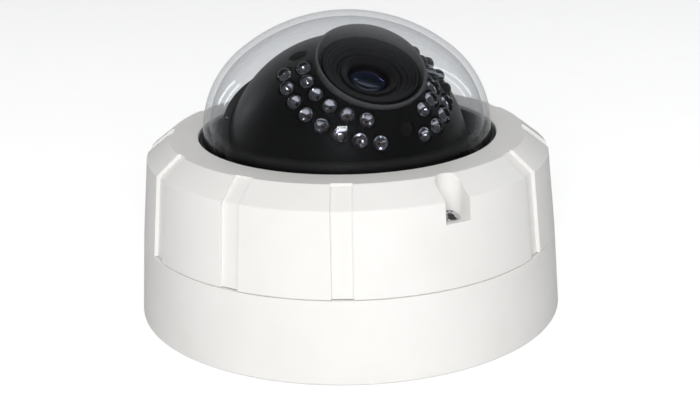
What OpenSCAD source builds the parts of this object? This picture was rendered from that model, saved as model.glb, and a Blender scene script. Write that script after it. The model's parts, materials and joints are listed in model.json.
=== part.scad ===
// Vandal-resistant dome camera, shown standing on its mounting face with the bubble up.
// Z runs up through the bubble, and the front of the camera faces -Y.
// Angles around the housing are counted from the front, towards +X.

/* [Housing] */
// Diameter of the housing at its mounting face
base_d = 150; // [148:1:190]
// Height of the seam between the base and the cover
seam_z = 28; // [27:0.5:34]
// Radius lost to the casting draft between the mounting face and the seam
base_draft = 2; // [0.5:0.1:3]
// Height from the seam to the shoulder edge of the cover
cover_wall_h = 28.2; // [27:0.1:36]
// Radius lost to the casting draft between the seam and the shoulder edge
cover_draft = 2.8; // [1:0.1:3]
// Radius lost across the sloped shoulder
shoulder_run = 8; // [6:0.1:8.5]
// Height gained across the sloped shoulder
shoulder_rise = 6.3; // [5:0.1:7]
// Thickness of the cast walls
wall = 3.5; // [3:0.1:4]
// Thickness of the base floor
floor_t = 2.5; // [2:0.1:3]
// Gap that shows as the seam line
seam_gap = 0.2; // [0.1:0.05:0.4]

/* [Grooves and pockets] */
// Width of the decorative grooves down the cover
groove_w = 7; // [5:0.1:9]
// Depth of the grooves
groove_depth = 1.3; // [0.8:0.1:1.6]
// Angle of the first groove
groove_start = -2; // [-4:0.5:4]
// Width of the pockets that hold the cover screws
pocket_w = 9.2; // [8.4:0.1:10]
// Depth of the pocket floor below the top deck
pocket_depth = 13.4; // [11:0.1:14.5]

/* [Bubble] */
// Thickness of the clear bubble
bubble_t = 2.2; // [2:0.1:2.6]
// Height of the bubble above its widest circle
bubble_rise = 40.5; // [40:0.1:46]
// Radius of the bubble's side, smaller than that of its crown
bubble_side_r = 35; // [30:0.5:38]
// Gap between the bubble and the edge of the deck opening
opening_gap = 1.7; // [1.2:0.1:2]

/* [Camera head] */
// Radius of the ball that holds the lens and the lamps
head_r = 42.6; // [42:0.1:43.2]
// Wall of the ball's two halves
head_wall = 2.2; // [1.6:0.1:2.6]
// Depth of the ball's centre below the top deck
head_drop = 9; // [8.5:0.1:10]
// Room between the ball and the inside of the bubble
head_room = 5.5; // [5.3:0.1:7]
// Height angle of the lens as shown
lens_elevation = 61; // [20:1:80]
// Direction of the lens around the housing as shown
lens_azimuth = 26; // [-60:1:60]
// Turn of the ball about the lens axis as shown
lens_roll = 2.8; // [-20:0.1:20]

/* [Infrared lamps] */
// Diameter of each lamp
led_d = 5; // [3:0.1:5]
// Number of lamps on each side in the outer row
outer_count = 8; // [4:1:8]
// Radius of the outer row from the lens axis
outer_row_r = 28; // [27.5:0.1:29]
// Number of lamps on each side in the inner row
inner_count = 6; // [3:1:6]
// Radius of the inner row from the lens axis
inner_row_r = 22.3; // [22:0.1:22.6]

/* [Lens] */
// Outer diameter of the lens rim
lens_rim_d = 33; // [27:0.5:33]
// Diameter of the front glass
glass_d = 14; // [11:0.5:16]
// Diameter of the sleeve that the zoom and focus rings turn on
sleeve_d = 27; // [24:0.5:27]
// Wall of the zoom and focus rings
ring_wall = 2.4; // [2:0.1:2.6]

/* [Fasteners] */
// Shank diameter of the cover screws
cover_screw_d = 4; // [3:0.1:4.8]
// Diameter of the holes for fixing the housing to a ceiling
mount_hole_d = 5.2; // [4:0.1:6]
// Number of fixing holes
mount_count = 4; // [3:1:4]
// Diameter of the circle of fixing holes
mount_pcd = 124; // [121:1:125]
// Diameter of the bore in the cable grommet
cable_d = 6.5; // [4:0.1:8]

/* [Hidden] */

$fn = 96;
eps = 0.01;
far = 400;

// Clearances shared by the pieces
running_gap = 0.05;
thread_gap = 0.05;
slip_gap = 0.3;
hole_gap = 0.2;
face_gap = 0.15;

// Housing outline
base_r = base_d / 2;
seam_r = base_r - base_draft;
shoulder_r = seam_r - cover_draft;
deck_r = shoulder_r - shoulder_run;
shoulder_z = seam_z + cover_wall_h;
deck_z = shoulder_z + shoulder_rise;
cover_z = seam_z + seam_gap;
deck_t = 3.5;
deck_under_z = deck_z - deck_t;

// Bubble and its clamp, downwards from the deck
bubble_r = head_r + head_room + bubble_t;
bubble_z = deck_z + 1;
opening_r = bubble_r + opening_gap;
flange_w = 5.7;
flange_t = 2.8;
dome_seal_t = 0.8;
flange_r = bubble_r + flange_w;
flange_top_z = deck_under_z - dome_seal_t;
flange_z = flange_top_z - flange_t;
clamp_t = 1.8;
clamp_inner_r = bubble_r - 0.8;
clamp_outer_r = flange_r + 4.8;
clamp_screw_r = flange_r + 2.6;
clamp_boss_r = 2.2;
clamp_screw_count = 6;
clamp_screw_start = 13;
clamp_screw_d = 2.4;

// Cover screws, their pockets and posts
screw_angles = [28.8, 148.8, 238.8];
screw_r = shoulder_r - 4.6;
post_r = cover_screw_d / 2 + 2.5;
boss_r = cover_screw_d / 2 + 3;
insert_wall = 0.8;
insert_h = 7;
pocket_floor_z = deck_z - pocket_depth;
post_top_z = seam_z - 0.2;
screw_tip_z = seam_z - 10;
screw_head_r = 3.4;
screw_head_h = 2.4;
groove_places = [-3, -2, -1, 0, 2, 3, 4, 6, 7];
groove_angles = [for (k = groove_places) groove_start + 30 * k];

// Register lip and gasket at the seam
lip_depth = 3.5;
lip_t = 1.6;
gasket_w = 1.2;
gasket_h = 1.3;
gasket_r = seam_r - wall / 2 - 0.55;

// Head geometry
head_z = deck_z - head_drop;
head_inner_r = head_r - head_wall;
rib_half = 1;
rib_r = head_r + 1.4;
ring_inner_r = head_r + slip_gap;
ring_outer_r = head_r + 2.8;
ring_back = 5;
ring_front = 4.2;
ring_screw_count = 6;
ring_screw_d = 1.6;

// Yoke and turntable
plate_t = 2;
arm_t = 1.2;
arm_inner = ring_outer_r + 0.5;
arm_outer = arm_inner + arm_t;
arm_w = 26;
arm_neck_w = 9;
arm_top = 4.5;
arm_shoulder = 8.5;
yoke_z = floor_t + plate_t + 0.2;
yoke_t = 1.5;
turntable_r = arm_outer + 2.4;
ear_r = 5.5;
ear_pitch_r = turntable_r + 5;
ear_angles = [5, 125, 245];
hub_r = 9;
hub_bore_r = 7;
retainer_t = 0.8;
pivot_r = 2.2;
lock_radius = 9;
lock_d = 3;
lock_offset = 16;
lock_travel = 46;

// Lamps
led_r = led_d / 2;
led_top_r = head_r + 2;
led_body = 7.8;
led_flange_r = led_r + 0.25;
led_bore_r = led_r + hole_gap;
led_seat_r = led_r + 0.8;
led_seat_depth = 0.9;
outer_first = 17.5;
outer_step = 14;
inner_first = 29.1;
inner_step = 17.1;
outer_angles = concat(
    [for (k = [0:outer_count - 1]) -outer_first - k * outer_step],
    [for (k = [0:outer_count - 1]) outer_first + k * outer_step]);
inner_angles = concat(
    [for (k = [0:inner_count - 1]) -inner_first - k * inner_step],
    [for (k = [0:inner_count - 1]) inner_first + k * inner_step]);
photocell_row_r = 25;
photocell_angle = 4.5;
photocell_r = 2.5;

// Heights along the lens axis, from the ball's centre
ir_board_h = 22;
ir_board_t = 1.6;
ir_board_r = 32;
ir_boss_row_r = 29.5;
ir_boss_angle = outer_first + 2.5 * outer_step;
ir_boss_angles = [-ir_boss_angle, ir_boss_angle, 180];
sensor_board_h = -12;
main_board_h = -20;
board_t = 1.6;
board_w = 30;
board_hole = 12.5;
head_screw_row_r = 25;
head_screw_angles = [-134, 134];
head_screw_d = 2.5;
head_screw_seat = head_r - 12.6;
head_screw_head_r = 2.6;
pillar_r = 2.9;

// Lens along its axis
lens_rim_r = lens_rim_d / 2;
lens_hole_r = lens_rim_r + 0.4;
hood_foot_r = lens_hole_r + 0.1;
hood_foot_w = 1.6;
hood_top_r = hood_foot_r + 2.5;
hood_rim_w = 0.7;
hood_top_h = head_r + 0.5;
hood_cut_h = head_r - 1.4;
hood_cut_angle = 5.5;
glass_r = glass_d / 2;
sleeve_r = sleeve_d / 2;
ring_bore_r = sleeve_r + running_gap;
ring_r = ring_bore_r + ring_wall;
lens_back_h = -5;
sleeve_h = 3.6;
zoom_h = 4;
zoom_l = 7;
focus_h = 12;
focus_l = 7;
barrel_h = 19.4;
lens_front_h = head_r - 3.3;
rim_h = lens_front_h - 4.7;
barrel_r = min(sleeve_r + 1, lens_rim_r - 1.5);
knob_r = 2.4;
knob_l = 3.4;
ring_lock_d = 2;

// Conduit entry at the back and cable hole in the floor
conduit_angle = 180;
conduit_r = 8;
conduit_z = 14;
conduit_boss_r = 11;
conduit_boss_depth = 8;
conduit_face_r = base_r - base_draft * (conduit_z + conduit_boss_r) / seam_z;
cable_angle = 112;
cable_pitch_r = base_r - 14;
cable_hole_r = 5.5;
mount_start = 73;

// Terminal board on the base floor
board_angle = -62;
board_pitch_r = base_r - 16;
terminal_w = 40;
terminal_l = 13;
terminal_z = 8;
terminal_hole = 17;
standoff_r = 2.6;
board_screw_d = 2;

// Point at radius r and angle a in a plane seen along its axis
function polar(r, a) = [r * sin(a), -r * cos(a), 0];

// Puts children on the housing at radius r, angle a and height z
module at(r, a, z = 0) {
    rotate([0, 0, a]) translate([0, -r, z]) children();
}

// Puts children in the frame of the tilting ring: Z along the lens
module tilt_frame() {
    translate([0, 0, head_z])
        rotate([0, 0, lens_azimuth])
            rotate([90 - lens_elevation, 0, 0])
                children();
}

// Puts children in the frame of the ball, turned about the lens axis
module head_frame() {
    tilt_frame() rotate([0, 0, lens_roll]) children();
}

// Puts children on a radius of the ball, at distance r from the lens axis
module on_ball(r, a, ball_r) {
    rotate([0, 0, a]) rotate([asin(r / ball_r), 0, 0]) children();
}

// Flat ring with a square section
module ring(r_out, r_in, h) {
    difference() {
        cylinder(h = h, r = r_out);
        translate([0, 0, -1]) cylinder(h = h + 2, r = r_in);
    }
}

// Quarter of a three-centred arch, half_w wide and rise high
module arch_section(half_w, rise, side_r) {
    shift = half_w - side_r;
    crown_r = (shift * shift + rise * rise - side_r * side_r) / (2 * (rise - side_r));
    drop = crown_r - rise;
    line = sqrt(shift * shift + drop * drop);
    ux = shift / line;
    uy = drop / line;
    reach = 3 * half_w;
    intersection() {
        square([2 * half_w, 2 * rise]);
        union() {
            intersection() {
                translate([0, -drop]) circle(r = crown_r);
                polygon([[0, -drop], [ux * reach, uy * reach - drop], [0, uy * reach - drop]]);
            }
            translate([shift, 0]) circle(r = side_r);
        }
    }
}

// Half section of the cover, with the lip that registers it inside the base
module cover_section() {
    lip_r = seam_r - wall - slip_gap;
    inner_r = seam_r - wall - cover_draft * 5 / cover_wall_h;
    polygon([[seam_r, cover_z], [shoulder_r, shoulder_z], [deck_r, deck_z], [opening_r, deck_z],
        [opening_r, deck_under_z], [deck_r - 2.2, deck_under_z], [shoulder_r - wall, shoulder_z - 2.1],
        [inner_r, cover_z + 5], [lip_r - lip_t, cover_z + 3], [lip_r - lip_t, seam_z - lip_depth],
        [lip_r, seam_z - lip_depth], [lip_r, cover_z]]);
}

// Half section of the cover, 1 mm inside its skin, that clips the bosses
module cover_core() {
    polygon([[0, cover_z], [seam_r - 1, cover_z], [shoulder_r - 1, shoulder_z - 0.4],
        [deck_r - 0.4, deck_z - 1], [0, deck_z - 1]]);
}

// Section of a groove: it follows the wall and the shoulder, groove_depth inside them
module groove_section() {
    slope = atan2(shoulder_rise, shoulder_run);
    lean = atan2(cover_draft, cover_wall_h);
    inset = groove_depth / cos(lean);
    drop = groove_depth / cos(slope);
    corner_r = shoulder_r - inset;
    corner_z = shoulder_z + (shoulder_r - corner_r) * tan(slope) - drop;
    end_r = deck_r - 1;
    end_z = deck_z - drop + (deck_r - end_r) * tan(slope);
    low_r = corner_r + (corner_z - cover_z + 1) * tan(lean);
    polygon([[end_r, deck_z + 1], [end_r, end_z], [corner_r, corner_z], [low_r, cover_z - 1],
        [base_r + 5, cover_z - 1], [base_r + 5, deck_z + 1]]);
}

// Stands an extruded section on its edge, with its width along the housing's rim
module stand_section(w) {
    rotate([90, 0, -90]) linear_extrude(height = w, center = true) children();
}

// Pan-head screw pointing down from z = 0, head above
module pan_screw(d, l, head_r, head_h) {
    translate([0, 0, -l]) cylinder(h = l + eps, r = d / 2, $fn = 32);
    difference() {
        cylinder(h = head_h, r = head_r, $fn = 48);
        translate([0, 0, head_h * 0.5]) cylinder(h = head_h, r = head_r * 0.45, $fn = 6);
    }
}

// ---------- Base ----------

// Cast cup that is fixed to the ceiling
module base_housing() {
    color("whitesmoke")
    difference() {
        union() {
            difference() {
                cylinder(h = seam_z, r1 = base_r, r2 = seam_r, $fn = 180);
                translate([0, 0, floor_t])
                    cylinder(h = seam_z, r1 = base_r - wall, r2 = seam_r - wall, $fn = 180);
            }
            for (a = screw_angles) at(screw_r, a) cylinder(h = post_top_z, r = post_r);
            at(0, conduit_angle) conduit_boss();
            for (s = [-1, 1])
                at(board_pitch_r, board_angle) translate([s * terminal_hole, 0, 0])
                    cylinder(h = terminal_z, r = standoff_r);
        }
        for (a = screw_angles) at(screw_r, a, screw_tip_z - 2)
            cylinder(h = seam_z, r = cover_screw_d / 2 + insert_wall);
        at(0, conduit_angle, conduit_z) rotate([90, 0, 0]) cylinder(h = far, r = conduit_r);
        at(cable_pitch_r, cable_angle, -1) cylinder(h = floor_t + 2, r = cable_hole_r);
        for (k = [0:mount_count - 1])
            at(mount_pcd / 2, mount_start + k * 360 / mount_count, -1)
                cylinder(h = floor_t + 2, r = mount_hole_d / 2);
        for (a = ear_angles) at(ear_pitch_r, a, -1) cylinder(h = floor_t + 2, r = 1.3);
        for (s = [-1, 1])
            at(board_pitch_r, board_angle) translate([s * terminal_hole, 0, floor_t])
                cylinder(h = seam_z, r = board_screw_d / 2 + thread_gap);
        translate([0, 0, seam_z - gasket_h])
            ring(gasket_r + gasket_w / 2 + 0.1, gasket_r - gasket_w / 2 - 0.1, gasket_h + 1);
    }
}

// Thickened wall around the conduit entry, kept inside the base
module conduit_boss() {
    intersection() {
        cylinder(h = seam_z - gasket_h - 1, r1 = base_r - 1, r2 = seam_r - 1);
        translate([0, 0, conduit_z]) rotate([90, 0, 0]) cylinder(h = far, r = conduit_boss_r);
        translate([-far / 2, -far - (base_r - conduit_boss_depth), 0]) cube([far, far, far]);
    }
}

// Blanking plug in the conduit entry
module conduit_plug() {
    color("gainsboro")
    at(0, conduit_angle, conduit_z) rotate([90, 0, 0])
        translate([0, 0, base_r - conduit_boss_depth]) difference() {
            cylinder(h = conduit_face_r - base_r + conduit_boss_depth - 0.4, r = conduit_r - thread_gap);
            translate([0, 0, -1]) cylinder(h = 4, r = conduit_r - 2);
            translate([-conduit_r, -0.8, conduit_face_r - base_r + conduit_boss_depth - 1.6])
                cube([2 * conduit_r, 1.6, 3]);
        }
}

// Rubber grommet that seals the cable hole
module cable_grommet() {
    lip_r = cable_hole_r + 1.6;
    waist_r = cable_hole_r - thread_gap;
    color("dimgray")
    at(cable_pitch_r, cable_angle) difference() {
        union() {
            translate([0, 0, 0.1]) cylinder(h = floor_t, r = waist_r);
            translate([0, 0, floor_t]) cylinder(h = 1.2, r = lip_r);
            translate([0, 0, floor_t + 1.2 - eps]) cylinder(h = 2.4, r1 = waist_r, r2 = cable_d / 2 + 1);
        }
        translate([0, 0, -1]) cylinder(h = floor_t + 6, r = cable_d / 2);
    }
}

// Sealing cord in the groove of the base rim
module base_gasket() {
    color("dimgray")
    translate([0, 0, seam_z - gasket_h])
        ring(gasket_r + gasket_w / 2, gasket_r - gasket_w / 2, gasket_h + face_gap);
}

// Brass threads pressed into the three posts
module post_inserts() {
    color("goldenrod")
    for (a = screw_angles) at(screw_r, a, post_top_z - insert_h)
        ring(cover_screw_d / 2 + insert_wall, cover_screw_d / 2 + hole_gap / 2, insert_h);
}

// Small board that takes the power and video leads
module terminal_board() {
    color("seagreen")
    at(board_pitch_r, board_angle, terminal_z) difference() {
        translate([-terminal_w / 2, -terminal_l / 2, 0]) cube([terminal_w, terminal_l, board_t]);
        for (s = [-1, 1]) translate([s * terminal_hole, 0, -1]) cylinder(h = 4, r = board_screw_d / 2 + hole_gap);
    }
}

// Two-way screw terminal for the power leads
module power_terminal() {
    color("limegreen")
    at(board_pitch_r, board_angle, terminal_z + board_t) translate([-7.5, 0, 0]) difference() {
        translate([-5.5, -4, 0]) cube([11, 8, 9]);
        for (s = [-1, 1]) {
            translate([s * 2.6, 0, 5]) cylinder(h = 6, r = 1.9);
            translate([s * 2.6 - 1.8, -5, 1]) cube([3.6, 4, 3]);
        }
    }
}

// Round video socket beside the terminal
module video_connector() {
    color("silver")
    at(board_pitch_r, board_angle, terminal_z + board_t) translate([6.5, 0, 0]) difference() {
        union() {
            translate([-5, -5, 0]) cube([10, 10, 4]);
            cylinder(h = 12, r = 4.2);
        }
        translate([0, 0, 5]) cylinder(h = 8, r = 3.5);
    }
}

// Two screws that hold the terminal board
module terminal_screws() {
    color("silver")
    for (s = [-1, 1])
        at(board_pitch_r, board_angle, terminal_z + board_t) translate([s * terminal_hole, 0, 0])
            pan_screw(board_screw_d, 4.5, 1.9, 1.3);
}

// Fixed plate with the hub that the yoke turns on
module pan_base_plate() {
    color("silver")
    translate([0, 0, floor_t]) difference() {
        union() {
            cylinder(h = plate_t, r = turntable_r);
            for (a = ear_angles) at(ear_pitch_r, a) cylinder(h = plate_t, r = ear_r);
            for (a = ear_angles) at(ear_pitch_r - ear_r, a)
                translate([-ear_r, -ear_r, 0]) cube([2 * ear_r, 2 * ear_r, plate_t]);
            cylinder(h = yoke_z + yoke_t + face_gap - floor_t, r = hub_r);
        }
        translate([0, 0, -1]) cylinder(h = 10, r = hub_bore_r);
        for (a = ear_angles) at(ear_pitch_r, a, -1) cylinder(h = plate_t + 2, r = 1.5 + hole_gap / 2);
        for (a = [60, 180, 300]) at(turntable_r * 0.6, a, -1) cylinder(h = plate_t + 2, r = 8);
    }
}

// Three screws through the ears of the fixed plate
module pan_base_screws() {
    color("silver")
    for (a = ear_angles) at(ear_pitch_r, a, floor_t + plate_t) pan_screw(2.5, 3.6, 2.6, 1.8);
}

// Ring on top of the hub that keeps the yoke down
module pan_retainer() {
    color("silver")
    translate([0, 0, yoke_z + yoke_t + face_gap]) ring(hub_r + 3.5, hub_bore_r, retainer_t);
}

// ---------- Cover ----------

// Cast cover with grooves, screw pockets and the bubble opening
module cover_shell() {
    color("white")
    difference() {
        union() {
            rotate_extrude($fn = 180) cover_section();
            intersection() {
                rotate_extrude($fn = 180) cover_core();
                union() {
                    for (a = screw_angles) at(screw_r, a, cover_z + 1) cylinder(h = deck_z, r = boss_r);
                    for (a = screw_angles) at(screw_r, a, pocket_floor_z - 3)
                        cylinder(h = deck_z, r = pocket_w / 2 + 2.4);
                    for (k = [0:clamp_screw_count - 1])
                        at(clamp_screw_r, clamp_screw_start + 60 * k, flange_z)
                            cylinder(h = deck_z, r = clamp_boss_r);
                }
            }
        }
        for (a = screw_angles) at(screw_r, a, 0) cylinder(h = cover_z + 0.3, r = post_r + 0.6);
        at(0, conduit_angle, seam_z - lip_depth - 1) translate([-conduit_boss_r, -seam_r + wall, 0])
            cube([2 * conduit_boss_r, lip_t + 2, lip_depth + 0.8]);
        translate([0, 0, deck_z - 0.6]) cylinder(h = 1, r1 = opening_r - 0.4, r2 = opening_r + 0.6, $fn = 180);
        for (a = groove_angles) at(0, a) stand_section(groove_w) groove_section();
        for (a = screw_angles) at(screw_r, a, pocket_floor_z) pocket_space();
        for (a = screw_angles) at(screw_r, a, 0) cylinder(h = deck_z, r = cover_screw_d / 2 + slip_gap);
        for (k = [0:clamp_screw_count - 1])
            at(clamp_screw_r, clamp_screw_start + 60 * k, flange_z - 1)
                cylinder(h = 5, r = clamp_screw_d / 2 + thread_gap);
    }
}

// The open space of a screw pocket: round at the back and flared outwards
module pocket_space() {
    half = pocket_w / 2;
    cylinder(h = far / 4, r = half);
    linear_extrude(height = far / 4)
        polygon([[0.25 - half, 1], [half - 0.25, 1], [half + 0.15, -10], [-half - 0.15, -10]]);
}

// Clear polycarbonate bubble with its clamping flange
module dome_bubble() {
    color("lightblue", 0.4)
    union() {
        translate([0, 0, bubble_z]) rotate_extrude($fn = 180) difference() {
            arch_section(bubble_r, bubble_rise, bubble_side_r);
            arch_section(bubble_r - bubble_t, bubble_rise - bubble_t, bubble_side_r - bubble_t);
        }
        translate([0, 0, flange_z]) ring(bubble_r, bubble_r - bubble_t, bubble_z - flange_z);
        translate([0, 0, flange_z]) ring(flange_r, bubble_r - bubble_t, flange_t);
    }
}

// Black seal that fills the gap around the bubble
module dome_gasket() {
    color("black")
    union() {
        translate([0, 0, flange_top_z]) ring(flange_r, bubble_r + 0.1, dome_seal_t);
        translate([0, 0, flange_top_z]) ring(opening_r - 0.1, bubble_r + 0.1, deck_z - 1.2 - flange_top_z);
    }
}

// Steel ring that clamps the bubble against the deck
module dome_retaining_ring() {
    color("silver")
    translate([0, 0, flange_z - clamp_t]) difference() {
        ring(clamp_outer_r, clamp_inner_r, clamp_t);
        for (a = screw_angles) at(screw_r, a, -1) cylinder(h = 4, r = boss_r + 3);
        for (k = [0:clamp_screw_count - 1])
            at(clamp_screw_r, clamp_screw_start + 60 * k, -1) cylinder(h = 4, r = clamp_screw_d / 2 + hole_gap);
    }
}

// Screws that hold the clamping ring, put in from below
module retaining_ring_screws() {
    color("silver")
    for (k = [0:clamp_screw_count - 1])
        at(clamp_screw_r, clamp_screw_start + 60 * k, flange_z - clamp_t)
            mirror([0, 0, 1]) pan_screw(clamp_screw_d, 5, 2.1, 1.4);
}

// Three captive security screws that hold the cover to the base
module cover_screws() {
    color("silver")
    for (a = screw_angles) at(screw_r, a, pocket_floor_z) {
        translate([0, 0, screw_tip_z - pocket_floor_z])
            cylinder(h = pocket_floor_z - screw_tip_z + eps, r = cover_screw_d / 2);
        difference() {
            rotate_extrude() intersection() {
                translate([0, -1.3]) circle(r = 3.7);
                square([screw_head_r, screw_head_h]);
            }
            translate([0, 0, screw_head_h - 1.4]) cylinder(h = 2, r = 1.3, $fn = 6);
        }
    }
}

// ---------- Turning yoke ----------

// Bent steel bracket: a foot that turns on the hub and two upright arms
module yoke_bracket() {
    color("dimgray")
    rotate([0, 0, lens_azimuth]) difference() {
        union() {
            translate([-arm_outer, -arm_w / 2, yoke_z]) cube([2 * arm_outer, arm_w, yoke_t]);
            translate([0, 0, yoke_z]) cylinder(h = yoke_t, r = arm_w * 0.7);
            for (s = [-1, 1]) yoke_arm(s);
        }
        translate([0, 0, yoke_z - 1]) cylinder(h = yoke_t + 2, r = hub_r + running_gap);
        for (s = [-1, 1]) {
            translate([s * arm_inner, 0, head_z]) arm_hole(s, pivot_r + running_gap);
            translate([s * arm_inner, 0, head_z]) lock_slot(s);
        }
        translate([0, -15, yoke_z - 1]) cylinder(h = yoke_t + 2, r = 1.5 + hole_gap);
    }
}

// One arm, narrowed at the top so that it clears the bubble's flange
module yoke_arm(s) {
    x = s > 0 ? arm_inner : -arm_outer;
    translate([x, -arm_w / 2, yoke_z]) cube([arm_t, arm_w, head_z - arm_shoulder - yoke_z + 5]);
    translate([x, -arm_neck_w / 2, yoke_z]) cube([arm_t, arm_neck_w, head_z - yoke_z]);
    translate([x, 0, head_z]) rotate([0, 90, 0]) cylinder(h = arm_t, r = arm_neck_w / 2);
}

// Round hole through an arm, at the pivot
module arm_hole(s, r) {
    translate([s > 0 ? -1 : 1, 0, 0]) rotate([0, s * 90, 0]) cylinder(h = arm_t + 2, r = r);
}

// Curved slot that the tilt lock screw travels in
module lock_slot(s) {
    slot_r = lock_d / 2 + slip_gap;
    rotate([0, s * 90, 0]) translate([0, 0, -1]) rotate([0, 0, s > 0 ? 0 : 180]) {
        rotate([0, 0, -lock_travel]) rotate_extrude(angle = 2 * lock_travel)
            translate([lock_radius - slot_r, 0]) square([2 * slot_r, arm_t + 2]);
        for (t = [-1, 1]) rotate([0, 0, t * lock_travel]) translate([lock_radius, 0, 0])
            cylinder(h = arm_t + 2, r = slot_r);
    }
}

// Screw in the foot that stops the yoke from turning once it is set
module pan_lock_screw() {
    color("silver")
    rotate([0, 0, lens_azimuth]) translate([0, -15, yoke_z + yoke_t]) {
        translate([0, 0, -yoke_t - 0.15]) cylinder(h = yoke_t + 0.15 + eps, r = 1.5);
        cylinder(h = 1.6, r = 2.2, $fn = 48);
    }
}

// ---------- Tilting ring ----------

// Ring behind the ball's rib, with the pivots at its sides
module tilt_ring() {
    color("dimgray")
    tilt_frame() difference() {
        union() {
            translate([0, 0, -ring_back]) ring(ring_outer_r, ring_inner_r, ring_back - rib_half - face_gap);
            translate([0, 0, -ring_back])
                ring(ring_outer_r, rib_r + slip_gap, ring_back + rib_half + face_gap);
        }
        for (s = [-1, 1]) rotate([0, s * 90, 0]) translate([0, 0, rib_r])
            cylinder(h = far, r = pivot_r - running_gap);
        for (s = [-1, 1]) lock_place(s) cylinder(h = far, r = lock_d / 2 + thread_gap);
    }
    color("dimgray")
    tilt_frame() for (s = [-1, 1]) lock_lug(s);
}

// Places children at a lock screw, Z pointing outwards through the arm
module lock_place(s) {
    rotate([lens_elevation - 90 - lock_offset, 0, 0])
        translate([0, 0, -lock_radius])
            rotate([0, s * 90, 0]) translate([0, 0, rib_r - 3]) children();
}

// Lug on the ring that takes a lock screw
module lock_lug(s) {
    difference() {
        intersection() {
            lock_place(s) cylinder(h = far, r = 3.4);
            difference() {
                sphere(r = ring_outer_r);
                sphere(r = ring_inner_r);
            }
        }
        lock_place(s) cylinder(h = far, r = lock_d / 2 + thread_gap);
        translate([0, 0, -rib_half - face_gap]) cylinder(h = far, r = far);
    }
}

// Front half of the ring, which traps the ball's rib
module clamp_ring() {
    color("dimgray")
    tilt_frame() difference() {
        translate([0, 0, rib_half + face_gap])
            ring(ring_outer_r, ring_inner_r, ring_front - rib_half - face_gap);
        for (k = [0:ring_screw_count - 1]) rotate([0, 0, 60 * k])
            translate([0, -(ring_outer_r + ring_inner_r) / 2, 0])
                cylinder(h = far, r = 0.55, $fn = 24);
        for (s = [-1, 1]) rotate([0, s * 90, 0]) translate([0, 0, head_r - 2])
            cylinder(h = 8, r = pivot_r + slip_gap);
    }
}

// Small pins that hold the two halves of the ring together
module clamp_ring_screws() {
    color("silver")
    tilt_frame() for (k = [0:ring_screw_count - 1]) rotate([0, 0, 60 * k])
        translate([0, -(ring_outer_r + ring_inner_r) / 2, rib_half + face_gap])
            cylinder(h = ring_front - rib_half - face_gap + 0.3, r = 0.5, $fn = 24);
}

// Two pins that the ring tilts on
module tilt_pivots() {
    color("silver")
    tilt_frame() for (s = [-1, 1]) rotate([0, s * 90, 0]) translate([0, 0, rib_r + slip_gap])
        cylinder(h = arm_outer - rib_r - slip_gap, r = pivot_r - running_gap);
}

// Thumb screws that lock the tilt
module tilt_lock_screws() {
    color("silver")
    tilt_frame() for (s = [-1, 1]) lock_place(s) {
        translate([0, 0, ring_inner_r - rib_r + 3.4])
            cylinder(h = arm_outer - ring_inner_r - 0.2, r = lock_d / 2, $fn = 32);
        translate([0, 0, arm_outer - rib_r + 3.1]) cylinder(h = 2.2, r = 3, $fn = 48);
    }
}

// ---------- Ball ----------

// Front half of the ball, pierced for the lens and the lamps
module head_front_cover() {
    color("black")
    head_frame() difference() {
        union() {
            intersection() {
                difference() {
                    sphere(r = head_r, $fn = 160);
                    sphere(r = head_inner_r, $fn = 160);
                }
                translate([0, 0, rib_half]) cylinder(h = far, r = far / 2);
            }
            intersection() {
                sphere(r = head_r - head_wall / 2, $fn = 160);
                union() {
                    for (a = ir_boss_angles) translate(polar(ir_boss_row_r, a))
                        translate([0, 0, ir_board_h + ir_board_t]) cylinder(h = far / 8, r = 1.7);
                    for (a = head_screw_angles) translate(polar(head_screw_row_r, a))
                        translate([0, 0, rib_half]) cylinder(h = far / 8, r = pillar_r);
                }
            }
        }
        cylinder(h = far, r = lens_hole_r);
        for (a = outer_angles) on_ball(outer_row_r, a, head_r) lamp_seat();
        for (a = inner_angles) on_ball(inner_row_r, a, head_r) lamp_seat();
        on_ball(photocell_row_r, photocell_angle, head_r) translate([0, 0, head_inner_r - 3])
            cylinder(h = far, r = photocell_r + hole_gap);
        for (a = ir_boss_angles) translate(polar(ir_boss_row_r, a))
            translate([0, 0, ir_board_h]) cylinder(h = 4.6, r = 0.85, $fn = 24);
        for (a = head_screw_angles) translate(polar(head_screw_row_r, a)) {
            cylinder(h = far, r = head_screw_d / 2 + hole_gap / 2);
            translate([0, 0, head_screw_seat]) cylinder(h = far, r = head_screw_head_r + hole_gap);
        }
    }
}

// Bore and shallow flat seat for one lamp
module lamp_seat() {
    translate([0, 0, head_inner_r - 4]) cylinder(h = far / 8, r = led_bore_r, $fn = 32);
    translate([0, 0, sqrt(pow(head_r, 2) - pow(led_seat_r, 2)) - led_seat_depth])
        cylinder(h = far / 8, r = led_seat_r, $fn = 32);
}

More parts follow.
